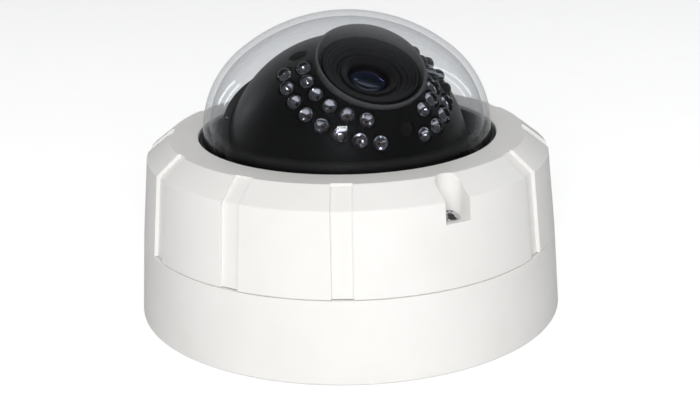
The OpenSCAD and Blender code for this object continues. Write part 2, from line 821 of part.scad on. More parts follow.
// Rear half of the ball, with the rib that turns in the tilting ring
module head_rear_cover() {
    color("black")
    head_frame() difference() {
        union() {
            intersection() {
                difference() {
                    sphere(r = head_r, $fn = 160);
                    sphere(r = head_inner_r, $fn = 160);
                }
                translate([0, 0, rib_half - far]) cylinder(h = far, r = far / 2);
            }
            translate([0, 0, -rib_half]) ring(rib_r, head_r - 0.8, 2 * rib_half);
            intersection() {
                sphere(r = head_r - head_wall / 2, $fn = 160);
                union() {
                    for (a = head_screw_angles) translate(polar(head_screw_row_r, a))
                        translate([0, 0, -far / 8]) cylinder(h = far / 8 + rib_half, r = pillar_r);
                    for (x = [-1, 1]) for (y = [-1, 1])
                        translate([x * board_hole, y * board_hole, -far / 8])
                            cylinder(h = far / 8 + main_board_h, r = 2.4);
                }
            }
        }
        for (a = head_screw_angles) translate(polar(head_screw_row_r, a))
            translate([0, 0, -9]) cylinder(h = far, r = head_screw_d / 2 + thread_gap);
        for (x = [-1, 1]) for (y = [-1, 1])
            translate([x * board_hole, y * board_hole, main_board_h - 5])
                cylinder(h = far, r = 1 + thread_gap, $fn = 24);
        translate([0, 0, -far]) cylinder(h = far, r = 8);
    }
}

// Two long screws that join the halves of the ball
module head_screws() {
    color("dimgray")
    head_frame() for (a = head_screw_angles) translate(polar(head_screw_row_r, a))
        translate([0, 0, head_screw_seat]) pan_screw(head_screw_d, head_screw_seat + 8, head_screw_head_r, 1.8);
}

// Flared visor around the lens that keeps the lamps' light off it
module lens_hood() {
    foot_h = head_r - 6;
    color("dimgray")
    head_frame() difference() {
        rotate_extrude() polygon([[hood_foot_r, foot_h], [hood_foot_r + hood_foot_w, foot_h],
            [hood_top_r, hood_top_h], [hood_top_r - hood_rim_w, hood_top_h]]);
        sphere(r = head_r + eps, $fn = 160);
        translate([0, 0, hood_cut_h]) rotate([hood_cut_angle, 0, 0])
            translate([-far / 2, -far / 2, 0]) cube([far, far, far]);
    }
}

// Ring-shaped board that carries the lamps
module ir_board() {
    color("darkgreen")
    head_frame() translate([0, 0, ir_board_h]) difference() {
        cylinder(h = ir_board_t, r = ir_board_r);
        translate([0, 0, -1]) cylinder(h = 4, r = ring_r + 1.2);
        for (a = head_screw_angles) translate(polar(head_screw_row_r, a)) translate([0, 0, -1])
            cylinder(h = 4, r = pillar_r + slip_gap);
        for (a = ir_boss_angles) translate(polar(ir_boss_row_r, a)) translate([0, 0, -1])
            cylinder(h = 4, r = 1, $fn = 24);
    }
}

// One lamp on the ball's radius, with its two leads down to the board
module lamp(r) {
    tilt = asin(r / head_r);
    foot = led_top_r - led_body;
    lead = (foot + 0.6) * cos(tilt) - ir_board_h - ir_board_t - 0.05;
    translate([0, 0, foot]) rotate_extrude($fn = 32) {
        square([led_r, led_body - led_r]);
        square([led_flange_r, 1]);
        translate([0, led_body - led_r]) intersection() {
            circle(r = led_r, $fn = 32);
            square(led_r);
        }
    }
    for (side = [-1, 1]) translate([0, 0, foot + 0.6]) rotate([-tilt, 0, 0])
        translate([side * 1.27 - 0.25, -0.25, -lead]) cube([0.5, 0.5, lead]);
}

// Outer row of lamps
module ir_lamps_outer() {
    color("lavender")
    head_frame() for (a = outer_angles) on_ball(outer_row_r, a, head_r) lamp(outer_row_r);
}

// Inner row of lamps
module ir_lamps_inner() {
    color("lavender")
    head_frame() for (a = inner_angles) on_ball(inner_row_r, a, head_r) lamp(inner_row_r);
}

// Light sensor that switches the lamps on at night
module photocell() {
    color("saddlebrown")
    head_frame() on_ball(photocell_row_r, photocell_angle, head_r)
        translate([0, 0, head_r - 5]) cylinder(h = 4.6, r = photocell_r, $fn = 32);
}

// Three screws that hold the lamp board
module ir_board_screws() {
    color("silver")
    head_frame() for (a = ir_boss_angles) translate(polar(ir_boss_row_r, a))
        translate([0, 0, ir_board_h]) mirror([0, 0, 1]) pan_screw(1.6, 4, 1.5, 1);
}

// ---------- Lens ----------

// Fixed barrel of the lens, with the sleeve for the two rings
module lens_barrel() {
    bore = glass_r - 1;
    color("black")
    head_frame() rotate_extrude() polygon([
        [bore, lens_back_h], [sleeve_r - 2.5, lens_back_h], [sleeve_r - 2.5, 0],
        [sleeve_r + 1.2, 0], [sleeve_r + 1.2, sleeve_h],
        [sleeve_r, sleeve_h], [sleeve_r, barrel_h],
        [barrel_r, barrel_h], [barrel_r, rim_h], [glass_r + 1, rim_h], [glass_r + 1, rim_h - 2], [bore, rim_h - 2]
    ]);
}

// Rim and sloping front face of the lens
module lens_front_ring() {
    lip = 0.7;
    groove_out = glass_r + 4.2;
    groove_in = glass_r + 3.2;
    color("black")
    head_frame() rotate_extrude() polygon([
        [glass_r + 0.1, rim_h], [lens_rim_r, rim_h], [lens_rim_r, lens_front_h - 0.4],
        [lens_rim_r - 0.4, lens_front_h], [lens_rim_r - lip, lens_front_h],
        [lens_rim_r - 1.8, lens_front_h - 1.0],
        [groove_out, lens_front_h - 2.1], [groove_out, lens_front_h - 2.9],
        [groove_in, lens_front_h - 2.9], [groove_in, lens_front_h - 2.2],
        [glass_r + 0.1, lens_front_h - 3.2]
    ]);
}

// Curved front glass
module front_glass() {
    color("midnightblue")
    head_frame() intersection() {
        translate([0, 0, rim_h - 2]) cylinder(h = 6, r = glass_r);
        translate([0, 0, lens_front_h - 2.4 - 1.7 * glass_r]) sphere(r = 1.7 * glass_r);
    }
}

// Block that holds the lens square over the sensor
module lens_mount() {
    side = 2 * board_hole - 1;
    color("black")
    head_frame() translate([0, 0, sensor_board_h + board_t]) difference() {
        union() {
            translate([-side / 2, -side / 2, 0]) cube([side, side, 2.4]);
            cylinder(h = -sensor_board_h - board_t, r = sleeve_r + 1.2);
        }
        translate([0, 0, -1]) cylinder(h = 20, r = sleeve_r - 2.5 + thread_gap);
        for (x = [-1, 1]) for (y = [-1, 1]) translate([x * board_hole, y * board_hole, -1])
            cylinder(h = 6, r = 2.6);
    }
}

// Filter glass behind the lens
module ir_cut_filter() {
    color("teal")
    head_frame() translate([-5, -5, lens_back_h - 1]) cube([10, 10, 0.6]);
}

// Image sensor
module image_sensor() {
    color("dimgray")
    head_frame() translate([-6, -6, sensor_board_h + board_t]) cube([12, 12, 1.8]);
}

// Square board with four corner holes
module square_board(h) {
    head_frame() translate([0, 0, h]) difference() {
        translate([-board_w / 2, -board_w / 2, 0]) cube([board_w, board_w, board_t]);
        for (x = [-1, 1]) for (y = [-1, 1]) translate([x * board_hole, y * board_hole, -1])
            cylinder(h = board_t + 2, r = 1 + hole_gap, $fn = 24);
    }
}

// Board that carries the sensor
module sensor_board() {
    color("darkgreen") square_board(sensor_board_h);
}

// Board that processes the picture
module main_board() {
    color("darkgreen") square_board(main_board_h);
}

// Four spacers between the two boards
module board_spacers() {
    color("goldenrod")
    head_frame() for (x = [-1, 1]) for (y = [-1, 1])
        translate([x * board_hole, y * board_hole, main_board_h + board_t])
            ring(2.2, 1 + hole_gap, sensor_board_h - main_board_h - board_t);
}

// Four long screws through both boards
module board_screws() {
    color("silver")
    head_frame() for (x = [-1, 1]) for (y = [-1, 1])
        translate([x * board_hole, y * board_hole, sensor_board_h + board_t])
            pan_screw(2, 2 * board_t + sensor_board_h - main_board_h - board_t + 4, 1.9, 1.4);
}

// Flat ribbon between the main board and the sensor board
module board_cable() {
    color("ivory")
    head_frame() translate([-6, board_w / 2 - 2.4, main_board_h + board_t])
        cube([12, 0.6, sensor_board_h - main_board_h - board_t]);
}

// Knurled adjusting ring that turns on the lens sleeve
module adjusting_ring(h, l) {
    head_frame() translate([0, 0, h]) difference() {
        cylinder(h = l, r = ring_r);
        translate([0, 0, -1]) cylinder(h = l + 2, r = ring_bore_r);
        for (k = [0:35]) rotate([0, 0, 10 * k + 5]) translate([-0.4, -ring_r - 1, l * 0.2])
            cube([0.8, 1.5, l * 0.6]);
        translate([0, 0, l / 2]) rotate([90, 0, 0]) cylinder(h = far, r = ring_lock_d / 2 + thread_gap, $fn = 32);
    }
}

// Thumb screw that locks an adjusting ring
module ring_lock(h, l) {
    head_frame() translate([0, 0, h + l / 2]) rotate([90, 0, 0]) {
        translate([0, 0, ring_bore_r + 0.1])
            cylinder(h = ring_r - ring_bore_r + 1, r = ring_lock_d / 2, $fn = 32);
        translate([0, 0, ring_r + 0.8]) cylinder(h = knob_l, r = knob_r, $fn = 32);
    }
}

// Ring that sets the angle of view
module zoom_ring() {
    color("dimgray") adjusting_ring(zoom_h, zoom_l);
}

// Screw that locks the angle of view
module zoom_lock_screw() {
    color("silver") ring_lock(zoom_h, zoom_l);
}

// Ring that sets the focus
module focus_ring() {
    color("dimgray") adjusting_ring(focus_h, focus_l);
}

// Screw that locks the focus
module focus_lock_screw() {
    color("silver") ring_lock(focus_h, focus_l);
}

base_housing();
conduit_plug();
cable_grommet();
base_gasket();
post_inserts();
terminal_board();
power_terminal();
video_connector();
terminal_screws();
pan_base_plate();
pan_base_screws();
pan_retainer();
cover_shell();
dome_bubble();
dome_gasket();
dome_retaining_ring();
retaining_ring_screws();
cover_screws();
yoke_bracket();
pan_lock_screw();
tilt_ring();
clamp_ring();
clamp_ring_screws();
tilt_pivots();
tilt_lock_screws();
head_front_cover();
head_rear_cover();
head_screws();
lens_hood();
ir_board();
ir_lamps_outer();
ir_lamps_inner();
photocell();
ir_board_screws();
lens_barrel();
lens_front_ring();
front_glass();
lens_mount();
ir_cut_filter();
image_sensor();
sensor_board();
main_board();
board_spacers();
board_screws();
board_cable();
zoom_ring();
zoom_lock_screw();
focus_ring();
focus_lock_screw();
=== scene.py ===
# %% [markdown]
# # A dome camera with a clear bubble
#
# The real object is a die-cast housing that screws to a ceiling. Here it stands on its
# mounting face. A camera ball with a ring of infrared lamps sits under a clear bubble.
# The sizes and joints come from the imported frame, and this lesson builds the visible
# surfaces round it: edges with real radii, lamps with their insides, and finishes.

# %% Open the frame
import bpy
import json
import math
from mathutils import Matrix, Vector


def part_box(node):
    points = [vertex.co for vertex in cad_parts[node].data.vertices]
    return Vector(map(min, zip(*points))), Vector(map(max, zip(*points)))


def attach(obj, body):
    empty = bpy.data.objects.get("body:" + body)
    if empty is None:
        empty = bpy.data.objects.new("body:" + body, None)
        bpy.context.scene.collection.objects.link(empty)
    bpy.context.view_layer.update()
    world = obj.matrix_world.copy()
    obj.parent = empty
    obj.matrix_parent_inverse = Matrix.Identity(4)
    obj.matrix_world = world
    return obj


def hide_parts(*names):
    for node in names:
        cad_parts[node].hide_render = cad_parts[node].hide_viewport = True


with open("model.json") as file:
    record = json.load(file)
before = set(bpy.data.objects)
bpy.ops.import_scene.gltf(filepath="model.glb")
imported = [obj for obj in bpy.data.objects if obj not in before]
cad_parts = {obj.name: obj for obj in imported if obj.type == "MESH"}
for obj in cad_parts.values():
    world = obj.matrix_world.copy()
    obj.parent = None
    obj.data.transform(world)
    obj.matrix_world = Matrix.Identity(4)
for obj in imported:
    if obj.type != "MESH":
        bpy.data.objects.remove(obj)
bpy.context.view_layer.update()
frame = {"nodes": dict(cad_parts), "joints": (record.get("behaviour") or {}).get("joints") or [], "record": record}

MM = 0.001

# %% [markdown]
# ## Measures
#
# The heights and radii of the housing and the bubble are read from the CAD nodes, and the
# joints give the centre of the ball and the two axes that it turns about. What a node's box
# can't give, such as a wall, a draft or the places of the screws, is a named value or part
# of an outline here. Those must be changed along with the part's source.

# %% Read the measures
def span(node):
    low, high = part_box(node)
    return low / MM, high / MM


joints = {j["name"]: j for j in frame["joints"]}
BASE_R = span("base_housing")[1].x
SEAM_Z = span("base_housing")[1].z
DECK_Z = span("cover_shell")[1].z
COVER_R = span("cover_shell")[1].x
COVER_Z = SEAM_Z + 0.2
LIP_Z = span("cover_shell")[0].z
FLANGE_R = span("dome_bubble")[1].x
FLANGE_Z = span("dome_bubble")[0].z
BUBBLE_TOP = span("dome_bubble")[1].z
BUBBLE_R = FLANGE_R - 5.7
BUBBLE_T = 2.2
OPENING_R = BUBBLE_R + 1.7
SHOULDER_Z = DECK_Z - 6.3
SHOULDER_R = COVER_R - 2.8
DECK_R = SHOULDER_R - 8.0
BALL_R = 42.6
ball_centre = Vector(joints["tilt"]["pos_m"])
lens_axis = Vector(joints["head_rotation"]["axis"]).normalized()
side_axis = Vector(joints["tilt"]["axis"]).normalized()
print("housing", round(BASE_R, 1), round(DECK_Z, 1), "bubble", round(BUBBLE_R, 1), round(BUBBLE_TOP, 1))

# %% [markdown]
# Parts of the ball are modelled with the lens axis along Z and are then moved to their
# place by one matrix. A lamp stands square to the ball's skin, so its own matrix leans it.

# %% The frame of the ball
LENS_ROLL = 2.8
up_axis = lens_axis.cross(side_axis)
tilt_frame = Matrix((side_axis, up_axis, lens_axis)).transposed().to_4x4()
tilt_frame.translation = ball_centre
head_frame = tilt_frame @ Matrix.Rotation(math.radians(LENS_ROLL), 4, "Z")


def round_the_lens(radius, angle, ball_r=BALL_R):
    """The frame of a part that stands on the ball, at this distance from the lens axis."""
    lean = Matrix.Rotation(math.asin(radius / ball_r), 4, "X")
    return head_frame @ Matrix.Rotation(math.radians(angle), 4, "Z") @ lean


def on_the_rim(angle):
    """Turns something modelled along -Y to an angle on the housing, counted from the front."""
    return Matrix.Rotation(math.radians(angle), 4, "Z")


print("lens axis", [round(v, 3) for v in lens_axis])

# %% [markdown]
# ## Outlines
#
# Nearly everything here is turned, so it starts as a half section: points at a radius and
# a height. A cast or moulded edge is never knife sharp, so each corner of a section can be
# given a small radius before it is spun. Doing that in the section gives clean, even edges,
# which a bevel on the finished mesh would not always do.

# %% Sections with rounded corners
def rounded(corners, steps=4):
    """Replaces each (r, z, radius) corner of a closed section by a small arc."""
    made = []
    count = len(corners)
    for i, corner in enumerate(corners):
        here = Vector(corner[:2])
        size = corner[2] if len(corner) > 2 else 0
        if size <= 0:
            made.append(tuple(here))
            continue
        before = Vector(corners[i - 1][:2]) - here
        after = Vector(corners[(i + 1) % count][:2]) - here
        half = before.angle(after) / 2
        reach = min(size / math.tan(half), before.length * 0.49, after.length * 0.49)
        size = reach * math.tan(half)
        middle = (before.normalized() + after.normalized()).normalized()
        centre = here + middle * (size / math.sin(half))
        first = here + before.normalized() * reach - centre
        last = here + after.normalized() * reach - centre
        turn = first.angle_signed(last)
        for k in range(steps + 1):
            a = -turn * k / steps
            x = first.x * math.cos(a) - first.y * math.sin(a)
            y = first.x * math.sin(a) + first.y * math.cos(a)
            made.append((centre.x + x, centre.y + y))
    return made


def arc(r, z, radius, first, last, steps):
    """Points along an arc round (r, z), from one angle in degrees to another."""
    angles = [math.radians(first + (last - first) * k / steps) for k in range(steps + 1)]
    return [(r + radius * math.cos(a), z + radius * math.sin(a)) for a in angles]


print("a rounded square has", len(rounded([(0, 0, 1), (9, 0, 1), (9, 9, 1), (0, 9, 1)])), "points")

# %% [markdown]
# A section is drawn by extruding one vertex from corner to corner. It is then spun into a
# ring, or filled and extruded into a slab.

# %% Draw a section and spin it
def deselect():
    if bpy.context.object and bpy.context.object.mode != "OBJECT":
        bpy.ops.object.mode_set(mode="OBJECT")
    bpy.ops.object.select_all(action="DESELECT")


def draw(name, section, upright=True):
    """Draws a closed section one corner at a time, by extruding a single vertex."""
    deselect()
    bpy.ops.mesh.primitive_plane_add(size=MM)
    piece = bpy.context.object
    piece.name = name
    bpy.ops.object.mode_set(mode="EDIT")
    bpy.ops.mesh.select_all(action="SELECT")
    bpy.ops.mesh.merge(type="CENTER")
    here = (0.0, 0.0)
    for k, point in enumerate(list(section) + [section[0]]):
        a, b = (point[0] - here[0]) * MM, (point[1] - here[1]) * MM
        step = (a, 0, b) if upright else (a, b, 0)
        if k == 0:
            bpy.ops.transform.translate(value=step)
        else:
            bpy.ops.mesh.extrude_region_move(TRANSFORM_OT_translate={"value": step})
        here = point
    bpy.ops.mesh.select_all(action="SELECT")
    bpy.ops.mesh.remove_doubles(threshold=0.002 * MM)
    return piece


def close_up():
    """Merges the seam of a spun mesh and points its faces outwards."""
    bpy.ops.mesh.select_all(action="SELECT")
    bpy.ops.mesh.remove_doubles(threshold=0.002 * MM)
    bpy.ops.mesh.normals_make_consistent(inside=False)
    bpy.ops.object.mode_set(mode="OBJECT")


def put(piece, place):
    """Moves a mesh to its place and leaves the object itself at the origin."""
    deselect()
    piece.matrix_world = place
    piece.select_set(True)
    bpy.context.view_layer.objects.active = piece
    bpy.ops.object.transform_apply(location=True, rotation=True, scale=True)
    return piece


def turned(name, section, steps=96, place=None):
    """Spins a section round the Z axis."""
    piece = draw(name, section)
    bpy.ops.mesh.spin(steps=steps, angle=math.tau, center=(0, 0, 0), axis=(0, 0, 1))
    close_up()
    return put(piece, place) if place is not None else piece


def slab(name, section, depth, upright=False, place=None):
    """Fills a section and extrudes it: up along Z, or both ways along Y if it stands upright."""
    piece = draw(name, section, upright)
    bpy.ops.mesh.edge_face_add()
    if upright:
        bpy.ops.transform.translate(value=(0, -depth / 2 * MM, 0))
    bpy.ops.mesh.select_all(action="SELECT")
    bpy.ops.mesh.extrude_region_move(
        TRANSFORM_OT_translate={"value": (0, depth * MM, 0) if upright else (0, 0, depth * MM)})
    close_up()
    return put(piece, place) if place is not None else piece


print("section helpers ready")

# %% [markdown]
# Holes and pockets are cut with solids that are shaped like the drill or the core that made
# them. Then the new edges are eased, as the paint or the mould would ease them.

# %% Cut, join and finish meshes
def twin(piece, place):
    """A copy with a mesh of its own, moved to another place."""
    other = piece.copy()
    other.data = piece.data.copy()
    bpy.context.collection.objects.link(other)
    return put(other, place)


def joined(pieces, name=None):
    """Joins meshes into the first of them."""
    deselect()
    for piece in pieces:
        piece.select_set(True)
    bpy.context.view_layer.objects.active = pieces[0]
    if len(pieces) > 1:
        bpy.ops.object.join()
    if name:
        pieces[0].name = name
    return pieces[0]


def shaped(piece, others, how="DIFFERENCE"):
    """Cuts, adds or intersects a piece with other solids, which are used up."""
    tool = joined(list(others))
    deselect()
    piece.select_set(True)
    bpy.context.view_layer.objects.active = piece
    change = piece.modifiers.new("shape", "BOOLEAN")
    change.operation = how
    change.solver = "EXACT"
    change.use_self = len(others) > 1
    change.object = tool
    bpy.ops.object.modifier_apply(modifier=change.name)
    bpy.data.objects.remove(tool)
    return piece


def eased(piece, width, angle=32, steps=2):
    """Takes the sharpness off the edges that cutting left."""
    deselect()
    piece.select_set(True)
    bpy.context.view_layer.objects.active = piece
    ease = piece.modifiers.new("ease", "BEVEL")
    ease.width = width * MM
    ease.segments = steps
    ease.limit_method = "ANGLE"
    ease.angle_limit = math.radians(angle)
    ease.miter_outer = "MITER_ARC"
    ease.use_clamp_overlap = True
    ease.harden_normals = False
    bpy.ops.object.modifier_apply(modifier=ease.name)
    return piece


def smooth(piece, angle=30, weighted=False):
    """Shades curved faces as one surface and keeps true edges crisp."""
    deselect()
    piece.select_set(True)
    bpy.context.view_layer.objects.active = piece
    bpy.ops.object.shade_smooth_by_angle(angle=math.radians(angle))
    if weighted:
        even = piece.modifiers.new("even", "WEIGHTED_NORMAL")
        even.keep_sharp = True
        bpy.ops.object.modifier_apply(modifier=even.name)
    return piece


def rod(name, radius, low, high, at=(0, 0), sides=48):
    """A plain round cutter or boss that stands on Z."""
    deselect()
    bpy.ops.mesh.primitive_cylinder_add(
        vertices=sides, radius=radius * MM, depth=(high - low) * MM,
        location=(at[0] * MM, at[1] * MM, (low + high) / 2 * MM))
    piece = bpy.context.object
    piece.name = name
    bpy.ops.object.transform_apply(location=True, rotation=True, scale=True)
    return piece


def rim_point(radius, angle):
    a = math.radians(angle)
    return radius * math.sin(a), -radius * math.cos(a)


print("mesh helpers ready")

# %% [markdown]
# ## Finishes
#
# Each finish is a Principled shader fed by noise in object space, at the size that the
# real surface has: the orange peel of powder coat is about a millimetre across, the spark
# texture of a mould a quarter of that. Constant values sit on the shader itself.

# %% A base for every finish
def new_finish(name, colour, roughness, metallic=0.0):
    finish = bpy.data.materials.new(name)
    finish.use_nodes = True
    tree = finish.node_tree
    shader = tree.nodes["Principled BSDF"]
    shader.inputs["Base Color"].default_value = (*colour, 1)
    shader.inputs["Roughness"].default_value = roughness
    shader.inputs["Metallic"].default_value = metallic
    finish.diffuse_color = (*colour, 1)
    return finish, tree, shader


def noise(tree, size_mm, detail=2.0, stretch=(1, 1, 1)):
    """Noise in object space whose blotches are about size_mm across."""
    place = tree.nodes.new("ShaderNodeTexCoord")
    scale = tree.nodes.new("ShaderNodeMapping")
    scale.inputs["Scale"].default_value = stretch
    grain = tree.nodes.new("ShaderNodeTexNoise")
    grain.inputs["Scale"].default_value = 1000.0 / size_mm
    grain.inputs["Detail"].default_value = detail
    tree.links.new(place.outputs["Object"], scale.inputs["Vector"])
    tree.links.new(scale.outputs["Vector"], grain.inputs["Vector"])
    return grain.outputs["Fac"]


def ranged(tree, value, low, high, start=0.3, stop=0.7):
    """Maps a noise value to a range."""
    remap = tree.nodes.new("ShaderNodeMapRange")
    remap.inputs["From Min"].default_value = start
    remap.inputs["From Max"].default_value = stop
    remap.inputs["To Min"].default_value = low
    remap.inputs["To Max"].default_value = high
    tree.links.new(value, remap.inputs["Value"])
    return remap.outputs["Result"]


def blended(tree, value, first, second, start=0.35, stop=0.65):
    """Blends two colours by a noise value."""
    ramp = tree.nodes.new("ShaderNodeValToRGB")
    ramp.color_ramp.elements[0].position = start
    ramp.color_ramp.elements[0].color = (*first, 1)
    ramp.color_ramp.elements[1].position = stop
    ramp.color_ramp.elements[1].color = (*second, 1)
    tree.links.new(value, ramp.inputs["Fac"])
    return ramp.outputs["Color"]


def relief(tree, shader, value, height_mm, strength=1.0):
    """Adds a fine relief of this height."""
    bump = tree.nodes.new("ShaderNodeBump")
    bump.inputs["Distance"].default_value = height_mm * MM
    bump.inputs["Strength"].default_value = strength
    tree.links.new(value, bump.inputs["Height"])
    tree.links.new(bump.outputs["Normal"], shader.inputs["Normal"])


def textured(name, dark, light, rough, metallic=0.0, grain_mm=1.0, height_mm=0.01, patch_mm=18.0,
             stretch=(1, 1, 1)):
    """A finish with patches of two close colours, uneven gloss and a fine relief."""
    middle = tuple((a + b) / 2 for a, b in zip(dark, light))
    finish, tree, shader = new_finish(name, middle, sum(rough) / 2, metallic)
    patches = noise(tree, patch_mm, 3.0)
    tree.links.new(blended(tree, patches, dark, light), shader.inputs["Base Color"])
    grain = noise(tree, grain_mm, 2.0, stretch)
    tree.links.new(ranged(tree, grain, *rough), shader.inputs["Roughness"])
    relief(tree, shader, grain, height_mm)
    return finish, tree, shader


print("finish helpers ready")

# %% Paint, mouldings and rubber
finishes = {}
finishes["white_paint"], tree, shader = textured(
    "white_paint", (0.80, 0.787, 0.765), (0.83, 0.82, 0.80), (0.36, 0.46), grain_mm=1.1, height_mm=0.006,
    patch_mm=30)
shader.inputs["Coat Weight"].default_value = 0.15
shader.inputs["Coat Roughness"].default_value = 0.25
finishes["black_moulding"], tree, shader = textured(
    "black_moulding", (0.0045, 0.0045, 0.005), (0.007, 0.007, 0.0075), (0.3, 0.42), grain_mm=0.3,
    height_mm=0.004)
shader.inputs["Specular IOR Level"].default_value = 0.3
finishes["grey_hood"], tree, shader = textured(
    "grey_hood", (0.065, 0.065, 0.068), (0.08, 0.08, 0.084), (0.36, 0.5), grain_mm=0.35, height_mm=0.004)
finishes["grey_plastic"], tree, shader = textured(
    "grey_plastic", (0.36, 0.37, 0.38), (0.4, 0.41, 0.42), (0.5, 0.62), grain_mm=0.4, height_mm=0.01)
finishes["green_plastic"], tree, shader = textured(
    "green_plastic", (0.02, 0.2, 0.05), (0.03, 0.25, 0.07), (0.38, 0.5), grain_mm=0.5, height_mm=0.006)
finishes["ribbon"], tree, shader = textured(
    "ribbon", (0.62, 0.6, 0.52), (0.7, 0.68, 0.6), (0.4, 0.5), grain_mm=0.5, height_mm=0.004)
finishes["seal_rubber"], tree, shader = textured(
    "seal_rubber", (0.008, 0.008, 0.009), (0.016, 0.016, 0.017), (0.62, 0.78), grain_mm=0.5, height_mm=0.012)
print(len(finishes), "finishes so far")

# %% [markdown]
# The metals differ mostly in gloss: rolled plate is drawn out along one way, turned brass
# is bright, and the black ones are dyed or blued, so they keep a metal's sheen.

# %% Metals
finishes["dark_steel"], tree, shader = textured(
    "dark_steel", (0.012, 0.012, 0.013), (0.02, 0.02, 0.021), (0.34, 0.46), grain_mm=0.8, height_mm=0.006)
finishes["black_steel"], tree, shader = textured(
    "black_steel", (0.02, 0.02, 0.02), (0.035, 0.034, 0.033), (0.3, 0.42), 0.8, grain_mm=0.3, height_mm=0.003)
finishes["black_anodised"], tree, shader = textured(
    "black_anodised", (0.006, 0.006, 0.007), (0.011, 0.011, 0.012), (0.28, 0.38), 0.35, grain_mm=0.2,
    height_mm=0.002)
finishes["ring_black"], tree, shader = textured(
    "ring_black", (0.02, 0.02, 0.021), (0.03, 0.03, 0.032), (0.3, 0.42), 0.5, grain_mm=0.2, height_mm=0.003)
finishes["plated_steel"], tree, shader = textured(
    "plated_steel", (0.55, 0.55, 0.56), (0.66, 0.66, 0.65), (0.22, 0.36), 1.0, grain_mm=0.5, height_mm=0.002,
    patch_mm=6, stretch=(1, 1, 0.2))
finishes["bright_steel"], tree, shader = textured(
    "bright_steel", (0.62, 0.62, 0.63), (0.7, 0.7, 0.71), (0.08, 0.16), 1.0, grain_mm=0.25, height_mm=0.001,
    patch_mm=3)
finishes["brass"], tree, shader = textured(
    "brass", (0.6, 0.42, 0.16), (0.72, 0.54, 0.24), (0.22, 0.34), 1.0, grain_mm=0.4, height_mm=0.002,
    patch_mm=4)
print(len(finishes), "finishes so far")

# %% [markdown]
# A circuit board is green lacquer over copper. The tracks are a fraction lighter and stand
# a little proud, and bare pads show as dots. A brick pattern gives the straight runs of
# tracks, and a cell pattern gives the dots.

# %% Circuit board
board, tree, shader = new_finish("circuit_board", (0.01, 0.09, 0.03), 0.3)
place = tree.nodes.new("ShaderNodeTexCoord")
tracks = tree.nodes.new("ShaderNodeTexBrick")
tracks.inputs["Scale"].default_value = 420.0
tracks.inputs["Mortar Size"].default_value = 0.06
tracks.inputs["Color1"].default_value = (0.008, 0.075, 0.024, 1)
tracks.inputs["Color2"].default_value = (0.01, 0.09, 0.03, 1)
tracks.inputs["Mortar"].default_value = (0.02, 0.16, 0.06, 1)
tree.links.new(place.outputs["Object"], tracks.inputs["Vector"])
pads = tree.nodes.new("ShaderNodeTexVoronoi")
pads.inputs["Scale"].default_value = 330.0
tree.links.new(place.outputs["Object"], pads.inputs["Vector"])
dots = ranged(tree, pads.outputs["Distance"], 1.0, 0.0, 0.1, 0.14)
mix = tree.nodes.new("ShaderNodeMix")
mix.data_type = "RGBA"
mix.inputs[7].default_value = (0.5, 0.48, 0.42, 1)
tree.links.new(dots, mix.inputs[0])
tree.links.new(tracks.outputs["Color"], mix.inputs[6])
tree.links.new(mix.outputs[2], shader.inputs["Base Color"])
relief(tree, shader, tracks.outputs["Fac"], 0.03)
finishes["circuit_board"] = board

# %% [markdown]
# The light sensor's window is nearly black, with a faint winding track under it. The filter
# in the lens is thin blue-green glass.

# %% Photocell, sensor and filter
cell, tree, shader = new_finish("photocell_face", (0.012, 0.01, 0.01), 0.1)
place = tree.nodes.new("ShaderNodeTexCoord")
track = tree.nodes.new("ShaderNodeTexWave")
track.inputs["Scale"].default_value = 420.0
track.inputs["Distortion"].default_value = 2.5
tree.links.new(place.outputs["Object"], track.inputs["Vector"])
tree.links.new(blended(tree, track.outputs["Fac"], (0.012, 0.007, 0.006), (0.004, 0.004, 0.004), 0.45, 0.55),
               shader.inputs["Base Color"])
shader.inputs["Coat Weight"].default_value = 1.0
finishes["photocell_face"] = cell
finishes["chip_black"], tree, shader = textured(
    "chip_black", (0.01, 0.01, 0.014), (0.02, 0.02, 0.03), (0.12, 0.22), grain_mm=0.4, height_mm=0.001)
shader.inputs["Coat Weight"].default_value = 0.8
finishes["filter_glass"], tree, shader = new_finish("filter_glass", (0.35, 0.75, 0.7), 0.03)
shader.inputs["Transmission Weight"].default_value = 0.9
shader.inputs["IOR"].default_value = 1.52
relief(tree, shader, noise(tree, 2.0), 0.0005)
print(len(finishes), "finishes so far")

# %% [markdown]
# The bubble is clear polycarbonate, faintly grey. It is thin and evenly thick, so it hardly
# bends what is behind it. A see-through shader mixed with a mirror, more of it the flatter
# the view, shows that with little noise, and lets light reach the ball.

# %% Clear bubble
def clear_shell(name, tint, facing, gloss):
    finish = bpy.data.materials.new(name)
    finish.use_nodes = True
    tree = finish.node_tree
    tree.nodes.remove(tree.nodes["Principled BSDF"])
    out = tree.nodes["Material Output"]
    see = tree.nodes.new("ShaderNodeBsdfTransparent")
    see.inputs["Color"].default_value = (*tint, 1)
    mirror = tree.nodes.new("ShaderNodeBsdfGlossy")
    mirror.inputs["Color"].default_value = (0.95, 0.97, 1.0, 1)
    tree.links.new(ranged(tree, noise(tree, 14.0, 3.0), gloss[0], gloss[1]), mirror.inputs["Roughness"])
    weight = tree.nodes.new("ShaderNodeLayerWeight")
    weight.inputs["Blend"].default_value = 0.5
    rise = tree.nodes.new("ShaderNodeMath")
    rise.operation = "POWER"
    rise.inputs[1].default_value = 5.0
    tree.links.new(weight.outputs["Facing"], rise.inputs[0])
    mix = tree.nodes.new("ShaderNodeMixShader")
    tree.links.new(ranged(tree, rise.outputs["Value"], facing, 0.9, 0.0, 1.0), mix.inputs["Fac"])
    tree.links.new(see.outputs["BSDF"], mix.inputs[1])
    tree.links.new(mirror.outputs["BSDF"], mix.inputs[2])
    tree.links.new(mix.outputs["Shader"], out.inputs["Surface"])
    return finish


